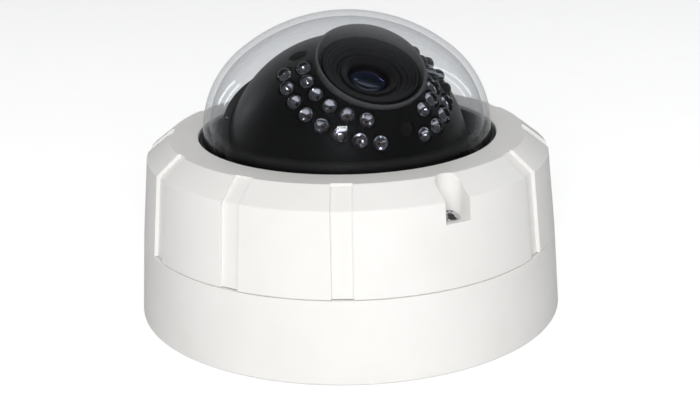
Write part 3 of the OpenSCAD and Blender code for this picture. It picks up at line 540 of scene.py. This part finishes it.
finishes["clear_bubble"] = clear_shell("clear_bubble", (0.925, 0.93, 0.935), 0.02, (0.02, 0.05))
print(len(finishes), "finishes so far")

# %% [markdown]
# The lamps are clear epoxy, and thick, so they do bend light: that is why each one shows
# a bright spot and a dark centre. They get true refraction. The front glass is coated, and
# the coating's colour is set as a thin film on the shader.

# %% Let light into thick resin
def lit_inside(finish):
    """Lets the rays that fetch light pass straight through, so that what is inside is lit."""
    tree = finish.node_tree
    shader = tree.nodes["Principled BSDF"]
    ray = tree.nodes.new("ShaderNodeLightPath")
    clear = tree.nodes.new("ShaderNodeBsdfTransparent")
    mix = tree.nodes.new("ShaderNodeMixShader")
    tree.links.new(ray.outputs["Is Shadow Ray"], mix.inputs["Fac"])
    tree.links.new(shader.outputs["BSDF"], mix.inputs[1])
    tree.links.new(clear.outputs["BSDF"], mix.inputs[2])
    tree.links.new(mix.outputs["Shader"], tree.nodes["Material Output"].inputs["Surface"])


# %% Lamp resin and lens glass
resin, tree, shader = new_finish("lamp_clear", (0.93, 0.95, 1.0), 0.02)
shader.inputs["Transmission Weight"].default_value = 1.0
shader.inputs["IOR"].default_value = 1.53
tree.links.new(ranged(tree, noise(tree, 1.5), 0.01, 0.05), shader.inputs["Roughness"])
finishes["lamp_clear"] = resin
lit_inside(resin)
glass, tree, shader = new_finish("lens_coating", (0.2, 0.22, 0.3), 0.0)
shader.inputs["Transmission Weight"].default_value = 1.0
shader.inputs["IOR"].default_value = 1.6
shader.inputs["Thin Film Thickness"].default_value = 380.0
shader.inputs["Thin Film IOR"].default_value = 1.38
tree.links.new(ranged(tree, noise(tree, 5.0), 0.0, 0.02), shader.inputs["Roughness"])
finishes["lens_coating"] = glass
lit_inside(glass)
finishes["lamp_metal"], tree, shader = textured(
    "lamp_metal", (0.78, 0.78, 0.84), (0.9, 0.9, 0.96), (0.12, 0.2), 1.0, grain_mm=0.3, height_mm=0.002)
finishes["lamp_die"], tree, shader = textured(
    "lamp_die", (0.05, 0.02, 0.015), (0.12, 0.04, 0.02), (0.25, 0.35), 0.6, grain_mm=0.2, height_mm=0.001)
print(len(finishes), "finishes in all")

# %% [markdown]
# The pieces under the cover keep their CAD shape and only need a finish.

# %% Dress the CAD nodes that stay
for subpart in frame["record"]["subparts"]:
    mesh = frame["nodes"][subpart["node"]].data
    mesh.materials.clear()
    mesh.materials.append(finishes[subpart["material_slot"]])


def settle(piece, body, slot, nodes=(), finish=None, angle=30, weighted=False):
    """Shades a finished piece, gives it its finish, hangs it on its body and hides the CAD nodes that it stands in
    for.
    """
    smooth(piece, angle, weighted)
    if finish != "kept":
        piece.data.materials.clear()
        piece.data.materials.append(finishes[finish or slot])
    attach(piece, body)
    if nodes:
        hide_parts(*nodes)
    print(piece.name, len(piece.data.polygons), "faces")
    return piece


# %% [markdown]
# ## Base
#
# The base is a die-cast cup with a slight draft. Its rim carries a groove for the gasket.
# Three posts take the cover screws, a boss at the back takes a conduit, and the floor has
# holes for the ceiling screws and the cable. The cup is turned, then the rest is added and
# cut as in the casting.

# %% Base housing
POST_ANGLES = (28.8, 148.8, 238.8)
SCREW_R = SHOULDER_R - 4.6
WALL = 3.5
FLOOR = 2.5
seam_r = COVER_R
base = turned("base_cup", rounded([
    (0, 0), (BASE_R, 0, 0.8), (seam_r, SEAM_Z, 0.35), (seam_r - 1.6, SEAM_Z, 0.1),
    (seam_r - 1.6, SEAM_Z - 1.3, 0.1), (seam_r - 3.0, SEAM_Z - 1.3, 0.1), (seam_r - 3.0, SEAM_Z, 0.1),
    (seam_r - WALL, SEAM_Z, 0.1), (BASE_R - WALL - 0.2, FLOOR, 1.2), (0, FLOOR)]), 240)
posts = [rod("post", 4.5, 1, SEAM_Z - 0.2, rim_point(SCREW_R, a)) for a in POST_ANGLES]
posts += [rod("standoff", 2.6, 1, 8, tuple((on_the_rim(-62) @ Vector((s * 17, 16 - BASE_R, 0))).xy), 32)
          for s in (-1, 1)]
boss = rod("conduit_boss", 11, BASE_R - 8, BASE_R - 1.6, sides=64)
put(boss, Matrix.Translation((0, 0, 14 * MM)) @ Matrix.Rotation(-math.pi / 2, 4, "X"))
shaped(base, posts + [boss], "UNION")
cuts = [rod("bore", 2.8, 16, 40, rim_point(SCREW_R, a)) for a in POST_ANGLES]
cuts += [rod("fixing", 2.6, -1, 5, rim_point(62, 73 + 90 * k)) for k in range(4)]
cuts += [rod("cable", 5.5, -1, 5, rim_point(BASE_R - 14, 112))]
cuts += [rod("pilot", 1.3, -1, 5, rim_point(54.5, 5 + 120 * k), 24) for k in range(3)]
cuts += [rod("pilot", 1.05, 3, 12, tuple((on_the_rim(-62) @ Vector((s * 17, 16 - BASE_R, 0))).xy), 24)
         for s in (-1, 1)]
entry = rod("entry", 8, 50, 90, sides=64)
cuts.append(put(entry, Matrix.Translation((0, 0, 14 * MM)) @ Matrix.Rotation(-math.pi / 2, 4, "X")))
shaped(base, cuts)
base.name = "base_cup"
settle(base, "base", "white_paint", ["base_housing"], weighted=True)

# %% [markdown]
# ## Cover
#
# The cover is the part that is seen most. Its wall leans in a little, a sloped shoulder
# leads to the flat deck, and nine shallow grooves run down the shoulder and the wall. Each
# cover screw sits in a round pocket that is open to the outside.

# %% Turn the cover
lip_r = seam_r - WALL - 0.3
cover = turned("cover", rounded([
    (seam_r, COVER_Z, 0.35), (SHOULDER_R, SHOULDER_Z, 0.9), (DECK_R, DECK_Z, 0.7), (OPENING_R, DECK_Z, 0.5),
    (OPENING_R, DECK_Z - 3.5, 0.2), (DECK_R - 2.2, DECK_Z - 3.5, 1), (SHOULDER_R - WALL, SHOULDER_Z - 2.1, 1),
    (seam_r - WALL - 0.5, COVER_Z + 5, 0.5), (lip_r - 1.6, COVER_Z + 3, 0.3), (lip_r - 1.6, LIP_Z, 0.3),
    (lip_r, LIP_Z, 0.3), (lip_r, COVER_Z)]), 288)
core = turned("core", [(0, COVER_Z), (seam_r - 1, COVER_Z), (SHOULDER_R - 1, SHOULDER_Z - 0.4),
                       (DECK_R - 0.4, DECK_Z - 1), (0, DECK_Z - 1)], 144)
POCKET_Z = DECK_Z - 13.4
bosses = [rod("boss", 5, COVER_Z + 1, 90, rim_point(SCREW_R, a)) for a in POST_ANGLES]
bosses += [rod("pocket_wall", 7.0, POCKET_Z - 3, 90, rim_point(SCREW_R, a)) for a in POST_ANGLES]
bosses += [rod("boss", 2.2, FLANGE_Z, 90, rim_point(FLANGE_R + 2.6, 13 + 60 * k), 32) for k in range(6)]
shaped(core, bosses, "INTERSECT")
shaped(cover, [core], "UNION")
print("cover", len(cover.data.polygons), "faces")

# %% [markdown]
# A groove's floor follows the wall and the shoulder at an even depth, so its cutter is a
# slab with that bent outline. A pocket's cutter is round inside and straight outside.

# %% Cut the grooves and the pockets
GROOVE_W, GROOVE_DEPTH = 7.0, 1.3
slope = math.atan2(6.3, 8.0)
lean = math.atan2(2.8, SHOULDER_Z - COVER_Z)
corner_r = SHOULDER_R - GROOVE_DEPTH / math.cos(lean)
drop = GROOVE_DEPTH / math.cos(slope)
corner_z = SHOULDER_Z + (SHOULDER_R - corner_r) * math.tan(slope) - drop
end_r = DECK_R - 1.0
end_z = DECK_Z + (DECK_R - end_r) * math.tan(slope) - drop
low_r = corner_r + (corner_z - COVER_Z + 1) * math.tan(lean)
groove = rounded([(end_r, DECK_Z + 1), (end_r, end_z, 0.5), (corner_r, corner_z, 1.2), (low_r, COVER_Z - 1),
                  (BASE_R + 5, COVER_Z - 1), (BASE_R + 5, DECK_Z + 1)])
cutter = slab("groove", groove, GROOVE_W, upright=True)
GROOVES = [30 * k - 2 for k in (-3, -2, -1, 0, 2, 3, 4, 6, 7)]
cuts = [twin(cutter, on_the_rim(a - 90)) for a in GROOVES]
bpy.data.objects.remove(cutter)
scoop = slab("scoop", [(-4.75, -11), (4.75, -11)] + arc(0, 0, 4.6, -14, 194, 28), 24)
put(scoop, Matrix.Translation((0, -SCREW_R * MM, POCKET_Z * MM)))
cuts += [twin(scoop, on_the_rim(a)) for a in POST_ANGLES]
bpy.data.objects.remove(scoop)
shaped(cover, cuts)
cuts = [rod("clearance", 2.3, 0, 90, rim_point(SCREW_R, a), 32) for a in POST_ANGLES]
cuts += [rod("post_room", 5.1, 0, COVER_Z + 0.3, rim_point(SCREW_R, a)) for a in POST_ANGLES]
cuts += [rod("thread", 1.25, FLANGE_Z - 1, FLANGE_Z + 4, rim_point(FLANGE_R + 2.6, 13 + 60 * k), 24)
         for k in range(6)]
shaped(cover, cuts)
eased(cover, 0.3)
cover.name = "cover"
settle(cover, "cover", "white_paint", ["cover_shell"], weighted=True)

# %% [markdown]
# ## Cover screws
#
# They are stainless button heads with a six-sided socket and a pin in it, so that an
# ordinary key does not fit. The head is turned, and the socket is cut and eased.

# %% Cover screws
screw = turned("cover_screw", rounded([
    (0, -34), (2.0, -34, 0.4), (2.0, 0), (3.4, 0, 0.15), (3.4, 0.5, 0.2)]
    + [(r, z) for r, z in arc(0, -1.3, 3.7, 45, 88, 8)][1:] + [(0, 2.4)]), 64)
shaped(screw, [rod("socket", 1.45, 0.9, 5, sides=6)])
eased(screw, 0.08)
pin = turned("pin", rounded([(0, 0.8), (0.5, 0.8), (0.5, 2.1, 0.12), (0, 2.1)]), 24)
joined([screw, pin])
screws = [twin(screw, Matrix.Translation((*[v * MM for v in rim_point(SCREW_R, a)], POCKET_Z * MM)))
          for a in POST_ANGLES]
bpy.data.objects.remove(screw)
settle(joined(screws, "cover_screw_set"), "cover", "bright_steel", ["cover_screws"])

# %% [markdown]
# ## Bubble and seal
#
# The bubble is moulded in one piece with a flange that the clamp ring holds. It is a flat
# oval rather than a half ball: a small radius at the sides runs into a large one at the
# crown. Both radii share their centres inside and out, so the wall keeps its thickness.

# %% Bubble
RISE = BUBBLE_TOP - DECK_Z - 1
SIDE = 35.0
shift = BUBBLE_R - SIDE
crown = (shift ** 2 + RISE ** 2 - SIDE ** 2) / (2 * (RISE - SIDE))
meet = math.degrees(math.atan2(crown - RISE, shift))
waist = DECK_Z + 1
outer = arc(shift, waist, SIDE, 0, meet, 40) + arc(0, waist + RISE - crown, crown, meet, 90, 34)[1:]
inner = arc(0, waist + RISE - crown, crown - BUBBLE_T, 90, meet, 34) \
    + arc(shift, waist, SIDE - BUBBLE_T, meet, 0, 40)[1:]
outer[-1] = (0, outer[-1][1])
inner[0] = (0, inner[0][1])
flange = rounded([
    (BUBBLE_R - BUBBLE_T, waist), (BUBBLE_R - BUBBLE_T, FLANGE_Z, 0.4), (FLANGE_R, FLANGE_Z, 0.3),
    (FLANGE_R, FLANGE_Z + 2.8, 0.3), (BUBBLE_R, FLANGE_Z + 2.8, 0.4), (BUBBLE_R, waist)])
bubble = turned("bubble", flange[1:-1] + outer + inner, 256)
settle(bubble, "cover", "clear_bubble", ["dome_bubble"], angle=40)

# %% [markdown]
# A soft black seal fills the gap between the bubble and the deck.

# %% Seal round the bubble
seal = turned("bubble_seal", rounded([
    (BUBBLE_R + 0.1, DECK_Z - 4.3), (FLANGE_R, DECK_Z - 4.3, 0.2), (FLANGE_R, DECK_Z - 3.5, 0.2),
    (OPENING_R - 0.1, DECK_Z - 3.5), (OPENING_R - 0.1, DECK_Z - 1.2, 0.5),
    (BUBBLE_R + 0.1, DECK_Z - 1.2, 0.5)]), 192)
settle(seal, "cover", "seal_rubber", ["dome_gasket"])

# %% [markdown]
# ## Front of the ball
#
# The front half of the ball is a moulded shell with a large hole for the lens and a small
# stepped hole for each lamp. A shell with all these holes is easiest to turn with the lens
# hole in its section, and then to drill. The drill is turned too, with a chamfer, so that
# every hole gets a rim that catches the light.

# %% Turn the shell
BALL_IN = BALL_R - 2.2
LENS_HOLE = 16.9
low = math.degrees(math.asin(1 / BALL_R))
high = math.degrees(math.acos(LENS_HOLE / BALL_R))
low_in = math.degrees(math.asin(1 / BALL_IN))
high_in = math.degrees(math.acos(LENS_HOLE / BALL_IN))
shell = turned("ball_front", arc(0, 0, BALL_R, low, high - 0.35, 44)
               + [(LENS_HOLE, BALL_R * math.sin(math.radians(high)) - 0.25)]
               + arc(0, 0, BALL_IN, high_in, low_in, 36), 224, head_frame)
print("shell", len(shell.data.polygons), "faces")

# %% [markdown]
# The lamps stand in two rows to each side of the lens, at even steps, so their places come
# from a loop. The light sensor and the two screws get plain holes.

# %% Drill the shell
OUTER_ROW, INNER_ROW = 28.0, 22.3
outer_angles = [s * (17.5 + 14.0 * k) for s in (-1, 1) for k in range(8)]
inner_angles = [s * (29.1 + 17.1 * k) for s in (-1, 1) for k in range(6)]
seat_z = math.sqrt(BALL_R ** 2 - 3.3 ** 2) - 0.9
drill = turned("drill", [(0, 36), (2.7, 36), (2.7, seat_z), (3.25, seat_z), (3.25, seat_z + 0.72),
                         (3.85, seat_z + 1.32), (3.85, 46), (0, 46)], 40)
places = [round_the_lens(OUTER_ROW, a) for a in outer_angles]
places += [round_the_lens(INNER_ROW, a) for a in inner_angles]
holes = [twin(drill, place) for place in places]
bpy.data.objects.remove(drill)
CELL_ANGLE, CELL_ROW = 4.5, 25.0
holes.append(put(rod("cell_hole", 2.7, 36, 48, sides=40), round_the_lens(CELL_ROW, CELL_ANGLE)))
SCREW_SEAT = 30.0
for a in (-134, 134):
    place = head_frame @ Matrix.Rotation(math.radians(a), 4, "Z") @ Matrix.Translation((0, -25 * MM, 0))
    holes.append(put(rod("screw_hole", 2.8, SCREW_SEAT, 50, sides=40), place))
shaped(shell, holes)
settle(shell, "head", "black_moulding", ["head_front_cover"], angle=28, weighted=True)

# %% [markdown]
# Two small black screws in deep recesses hold the halves of the ball together.

# %% Screws that join the ball
screw = turned("ball_screw", rounded([
    (0, -38), (1.25, -38), (1.25, 0), (2.6, 0, 0.1), (2.6, 0.7, 0.5), (1.4, 1.75, 0.4), (0, 1.8)]), 40)
slot_a = slab("slot", [(-1.7, -0.3), (1.7, -0.3), (1.7, 0.3), (-1.7, 0.3)], 3)
put(slot_a, Matrix.Translation((0, 0, 0.8 * MM)))
slot_b = twin(slot_a, Matrix.Rotation(math.pi / 2, 4, "Z"))
shaped(screw, [slot_a, slot_b])
screws = []
for a in (-134, 134):
    place = head_frame @ Matrix.Rotation(math.radians(a), 4, "Z") \
        @ Matrix.Translation((0, -25 * MM, SCREW_SEAT * MM))
    screws.append(twin(screw, place))
bpy.data.objects.remove(screw)
settle(joined(screws, "ball_screw_pair"), "head", "black_steel", ["head_screws"])

# %% [markdown]
# ## Lamps
#
# Each lamp is a 5 mm infrared diode: a clear bullet with a flange. Inside are two posts, a
# small bright cup on one of them, and the tiny die in the cup. These insides are what gives
# a clear lamp its glints, so they are modelled, not painted.

# %% Lamp bodies and their insides
LAMP_TOP = BALL_R + 2.0
LAMP_FOOT = LAMP_TOP - 7.8
bullet = turned("bullet", [(0, LAMP_FOOT), (2.75, LAMP_FOOT), (2.75, LAMP_FOOT + 0.9), (2.5, LAMP_FOOT + 1.0)]
                + arc(0, LAMP_TOP - 2.5, 2.5, 0, 90, 12)[:-1] + [(0, LAMP_TOP)], 40)
cup = turned("cup", [(0, LAMP_FOOT + 3.4), (0.7, LAMP_FOOT + 3.4), (1.5, LAMP_FOOT + 4.8),
                     (1.35, LAMP_FOOT + 4.8), (0.6, LAMP_FOOT + 4.2), (0, LAMP_FOOT + 4.2)], 24)
posts = []
for x, top in ((0.35, 4.0), (-1.0, 4.3)):
    post = slab("post", [(x - 0.3, -0.28), (x + 0.3, -0.28), (x + 0.3, 0.28), (x - 0.3, 0.28)], top - 0.1)
    posts.append(put(post, Matrix.Translation((0, 0, (LAMP_FOOT + 0.1) * MM))))
metal = joined([cup] + posts, "lamp_metal_one")
plug = rod("plug", 2.6, LAMP_FOOT - 0.5, LAMP_FOOT - 0.05, sides=32)
plug.data.materials.append(finishes["black_moulding"])
die = slab("die", [(-0.22, -0.22), (0.22, -0.22), (0.22, 0.22), (-0.22, 0.22)], 0.2,
           place=Matrix.Translation((0, 0, (LAMP_FOOT + 4.22) * MM)))
metal.data.materials.append(finishes["lamp_metal"])
metal.data.materials.append(finishes["lamp_die"])
die.data.materials.append(finishes["lamp_die"])
core = joined([metal, die, plug])
rows = (("outer", OUTER_ROW, outer_angles), ("inner", INNER_ROW, inner_angles))
for row, radius, angles in rows:
    bodies = [twin(bullet, round_the_lens(radius, a)) for a in angles]
    settle(joined(bodies, f"lamps_{row}"), "head", "lamp_clear", [f"ir_lamps_{row}"], angle=40)
    insides = [twin(core, round_the_lens(radius, a) @ Matrix.Rotation(a, 4, "Z")) for a in angles]
    settle(joined(insides, f"lamp_insides_{row}"), "head", "lamp_clear", finish="kept")
bpy.data.objects.remove(bullet)
bpy.data.objects.remove(core)

# %% [markdown]
# Between the inner row's two halves sits a light sensor, a dark disc in a plain hole. It
# tells the lamps when to come on.

# %% Photocell
CELL_TOP = BALL_R - 0.4
cell = turned("light_sensor", rounded([
    (0, BALL_R - 5), (2.5, BALL_R - 5), (2.5, CELL_TOP, 0.3), (2.2, CELL_TOP, 0.1),
    (2.2, CELL_TOP - 0.3, 0.1), (0, CELL_TOP - 0.2)]), 40, round_the_lens(CELL_ROW, CELL_ANGLE))
settle(cell, "head", "photocell_face", ["photocell"])

# %% [markdown]
# ## Lens and hood
#
# The lens rim is turned metal with fine steps cut into its sloping face, which kill stray
# light and show as thin bright arcs. The hood is a flared ring cut off at a slant, so that
# the lamps' light doesn't reach the glass.

# %% Lens rim
LENS_TOP = BALL_R - 3.3
RIM_R = 16.5
GLASS_R = 7.0
rim_low = LENS_TOP - 4.7
steps = []
for k in range(3):
    r = RIM_R - 2.0 - 1.6 * k
    z = LENS_TOP - 0.9 - 0.62 * k
    steps += [(r, z, 0.12), (r - 0.25, z - 0.45, 0.05)]
rim = turned("lens_rim", rounded([
    (GLASS_R + 0.1, rim_low), (RIM_R, rim_low, 0.3), (RIM_R, LENS_TOP, 0.4), (RIM_R - 0.9, LENS_TOP, 0.2),
    (RIM_R - 1.3, LENS_TOP - 0.75, 0.15)] + steps
    + [(GLASS_R + 3.9, LENS_TOP - 3.0, 0.15), (GLASS_R + 2.9, LENS_TOP - 3.0, 0.15),
       (GLASS_R + 2.7, LENS_TOP - 2.3, 0.2), (GLASS_R + 0.8, LENS_TOP - 3.0, 0.3),
       (GLASS_R + 0.1, LENS_TOP - 3.5)]), 160, head_frame)
settle(rim, "head", "black_anodised", ["lens_front_ring"])

# %% [markdown]
# The barrel is bored out in steps, and a baffle inside holds the second lens. Both lenses
# are turned like the rest, with a shallow curve in front.

# %% Barrel, baffles and glass
SLEEVE_R = 13.5
barrel = turned("lens_tube", rounded([
    (6, -5), (SLEEVE_R - 2.5, -5, 0.3), (SLEEVE_R - 2.5, 0), (SLEEVE_R + 1.2, 0, 0.3),
    (SLEEVE_R + 1.2, 3.6, 0.3), (SLEEVE_R, 3.6), (SLEEVE_R, 19.4), (SLEEVE_R + 1, 19.4, 0.3),
    (SLEEVE_R + 1, rim_low, 0.2), (GLASS_R + 1, rim_low), (GLASS_R + 1, rim_low - 2), (6, rim_low - 2),
    (6, 24), (3.2, 22.5, 0.2), (3.2, 21.5, 0.2), (6, 20)]), 96, head_frame)
settle(barrel, "head", "black_anodised", ["lens_barrel"])
curve = 1.7 * GLASS_R
crown_z = LENS_TOP - 2.4
edge_a = math.degrees(math.acos((GLASS_R - 0.02) / curve))
front = arc(0, crown_z - curve, curve, edge_a, 90, 16)
front[-1] = (0, front[-1][1])
lens = turned("front_lens", [(0, rim_low - 1.8), (GLASS_R - 0.02, rim_low - 1.8)] + front, 96, head_frame)
settle(lens, "head", "lens_coating", ["front_glass"], angle=40)
rear = turned("inner_lens", [(0, 24.2), (5.4, 24.2), (5.4, 25.2)] + arc(0, 17, 9.9, 56, 90, 10)[1:-1]
              + [(0, 26.9)], 64, head_frame)
settle(rear, "head", "lens_coating", angle=40)

# %% [markdown]
# The hood is a thin flared collar that sits on the ball. It is cut by a slanted plane, so
# it stands tall behind the lens and is nearly flush in front of it.

# %% Hood
FOOT_R = LENS_HOLE + 0.1
hood = turned("hood", rounded([
    (FOOT_R, BALL_R - 6), (FOOT_R + 1.5, BALL_R - 6), (FOOT_R + 2.5, BALL_R + 0.5, 0.25),
    (FOOT_R + 1.8, BALL_R + 0.5, 0.25)]), 160)
HOOD_CUT, HOOD_SLANT = BALL_R - 1.4, 5.5
slant = Matrix.Translation((0, 0, HOOD_CUT * MM)) @ Matrix.Rotation(math.radians(HOOD_SLANT), 4, "X")
above = put(rod("above", 40, 0, 30), slant)
shaped(hood, [above])
ball_edge = BALL_R + 0.01
ball = turned("ball", [(0, -ball_edge)] + arc(0, 0, ball_edge, -89, 89, 90) + [(0, ball_edge)], 128)
shaped(hood, [ball])
eased(hood, 0.15)
put(hood, head_frame)
settle(hood, "head", "grey_hood", ["lens_hood"])

# %% [markdown]
# ## Studio
#
# A pale floor that runs off to white, one broad soft light in front, one above, and two
# narrow ones behind at the sides, which draw a thin band down each edge of the bubble.

# %% Floor and surround
deselect()
bpy.ops.mesh.primitive_plane_add(size=6, location=(0, 0, -0.0002))
floor = bpy.context.object
floor.name = "floor"
bpy.ops.object.transform_apply(location=True, rotation=True, scale=True)
paper, tree, shader = textured("floor_paper", (0.9, 0.9, 0.9), (0.92, 0.92, 0.92), (0.85, 0.95), grain_mm=2.0,
                               height_mm=0.001)
seen = tree.nodes.new("ShaderNodeLightPath")
glow = tree.nodes.new("ShaderNodeMath")
glow.operation = "MULTIPLY"
glow.inputs[1].default_value = 0.45
tree.links.new(seen.outputs["Is Camera Ray"], glow.inputs[0])
tree.links.new(glow.outputs["Value"], shader.inputs["Emission Strength"])
shader.inputs["Emission Color"].default_value = (1, 1, 1, 1)
floor.data.materials.append(paper)
floor.visible_glossy = False

# %% [markdown]
# The camera sees a white surround. Lit surfaces get a soft, even share of it. Mirror-like
# ones see it dark in front and paler behind, as in a room with its walls painted black
# where the photographer stands, so the bubble stays clear and its edges go pale.

# %% Surround
world = bpy.data.worlds.new("surround")
bpy.context.scene.world = world
world.use_nodes = True
sky = world.node_tree
seen = sky.nodes.new("ShaderNodeLightPath")
way = sky.nodes.new("ShaderNodeTexCoord")
split = sky.nodes.new("ShaderNodeSeparateXYZ")
sky.links.new(way.outputs["Generated"], split.inputs["Vector"])
behind = sky.nodes.new("ShaderNodeMapRange")
behind.inputs["From Min"].default_value = 0.1
behind.inputs["From Max"].default_value = 0.8
behind.inputs["To Min"].default_value = 0.07
behind.inputs["To Max"].default_value = 0.5
sky.links.new(split.outputs["Y"], behind.inputs["Value"])
glints = sky.nodes.new("ShaderNodeMapRange")
glints.inputs["To Min"].default_value = 0.25
sky.links.new(behind.outputs["Result"], glints.inputs["To Max"])
sky.links.new(seen.outputs["Is Glossy Ray"], glints.inputs["Value"])
level = sky.nodes.new("ShaderNodeMapRange")
level.inputs["To Max"].default_value = 1.05
sky.links.new(glints.outputs["Result"], level.inputs["To Min"])
sky.links.new(seen.outputs["Is Camera Ray"], level.inputs["Value"])
sky.links.new(level.outputs["Result"], sky.nodes["Background"].inputs["Strength"])
sky.nodes["Background"].inputs["Color"].default_value = (1, 1, 1, 1)


# %% [markdown]
# A small key light beside the broad one gives each lamp its spark. The two broad lights
# are kept out of reflections, or they would show in the bubble as pale rectangles.

# %% Lights
def soft_light(name, place, aim, size, power, colour=(1, 1, 1)):
    lamp = bpy.data.lights.new(name, "AREA")
    lamp.shape = "RECTANGLE"
    lamp.size, lamp.size_y = size
    lamp.energy = power
    lamp.color = colour
    holder = bpy.data.objects.new(name, lamp)
    bpy.context.scene.collection.objects.link(holder)
    holder.location = place
    holder.rotation_euler = (Vector(aim) - Vector(place)).to_track_quat("-Z", "Y").to_euler()
    return holder


front = soft_light("front_light", (-0.02, -1.15, 0.5), (0, 0, 0.04), (0.8, 0.5), 11.5)
soft_light("key_light", (-0.08, -1.1, 0.62), (0, 0, 0.05), (0.16, 0.12), 1.0, (0.93, 0.96, 1.0))
top = soft_light("top_light", (0.0, 0.3, 1.1), (0, 0, 0.05), (0.7, 0.5), 1.8)
soft_light("right_window", (0.75, 0.55, 0.5), (0, 0, 0.08), (0.05, 0.6), 0.5, (0.85, 0.92, 1.0))
soft_light("left_window", (-0.75, 0.6, 0.3), (0, 0, 0.07), (0.05, 0.3), 0.3, (0.9, 0.95, 1.0))
for lamp in (front, top):
    lamp.visible_glossy = False
    lamp.visible_transmission = False

# %% [markdown]
# The camera stands in front and a little above the housing, with a long lens, and is
# tilted by about a degree, as a hand-held camera would be.

# %% Camera
EYE = Vector((0.0, -0.460, 0.19182))
YAW, PITCH, ROLL = 0.001, 0.326, -0.022
ahead = Vector((math.sin(YAW) * math.cos(PITCH), math.cos(YAW) * math.cos(PITCH), -math.sin(PITCH)))
right = Vector((math.cos(YAW), -math.sin(YAW), 0))
over = right.cross(ahead)
x_axis = right * math.cos(ROLL) + over * math.sin(ROLL)
y_axis = over * math.cos(ROLL) - right * math.sin(ROLL)
camera = bpy.data.objects.new("camera", bpy.data.cameras.new("camera"))
bpy.context.scene.collection.objects.link(camera)
camera.matrix_world = Matrix.Translation(EYE) @ Matrix((x_axis, y_axis, -ahead)).transposed().to_4x4()
camera.data.sensor_width = 36.0
camera.data.lens = 69.88
camera.data.clip_start = 0.01
bpy.context.scene.camera = camera
bpy.context.scene.view_settings.view_transform = "Standard"
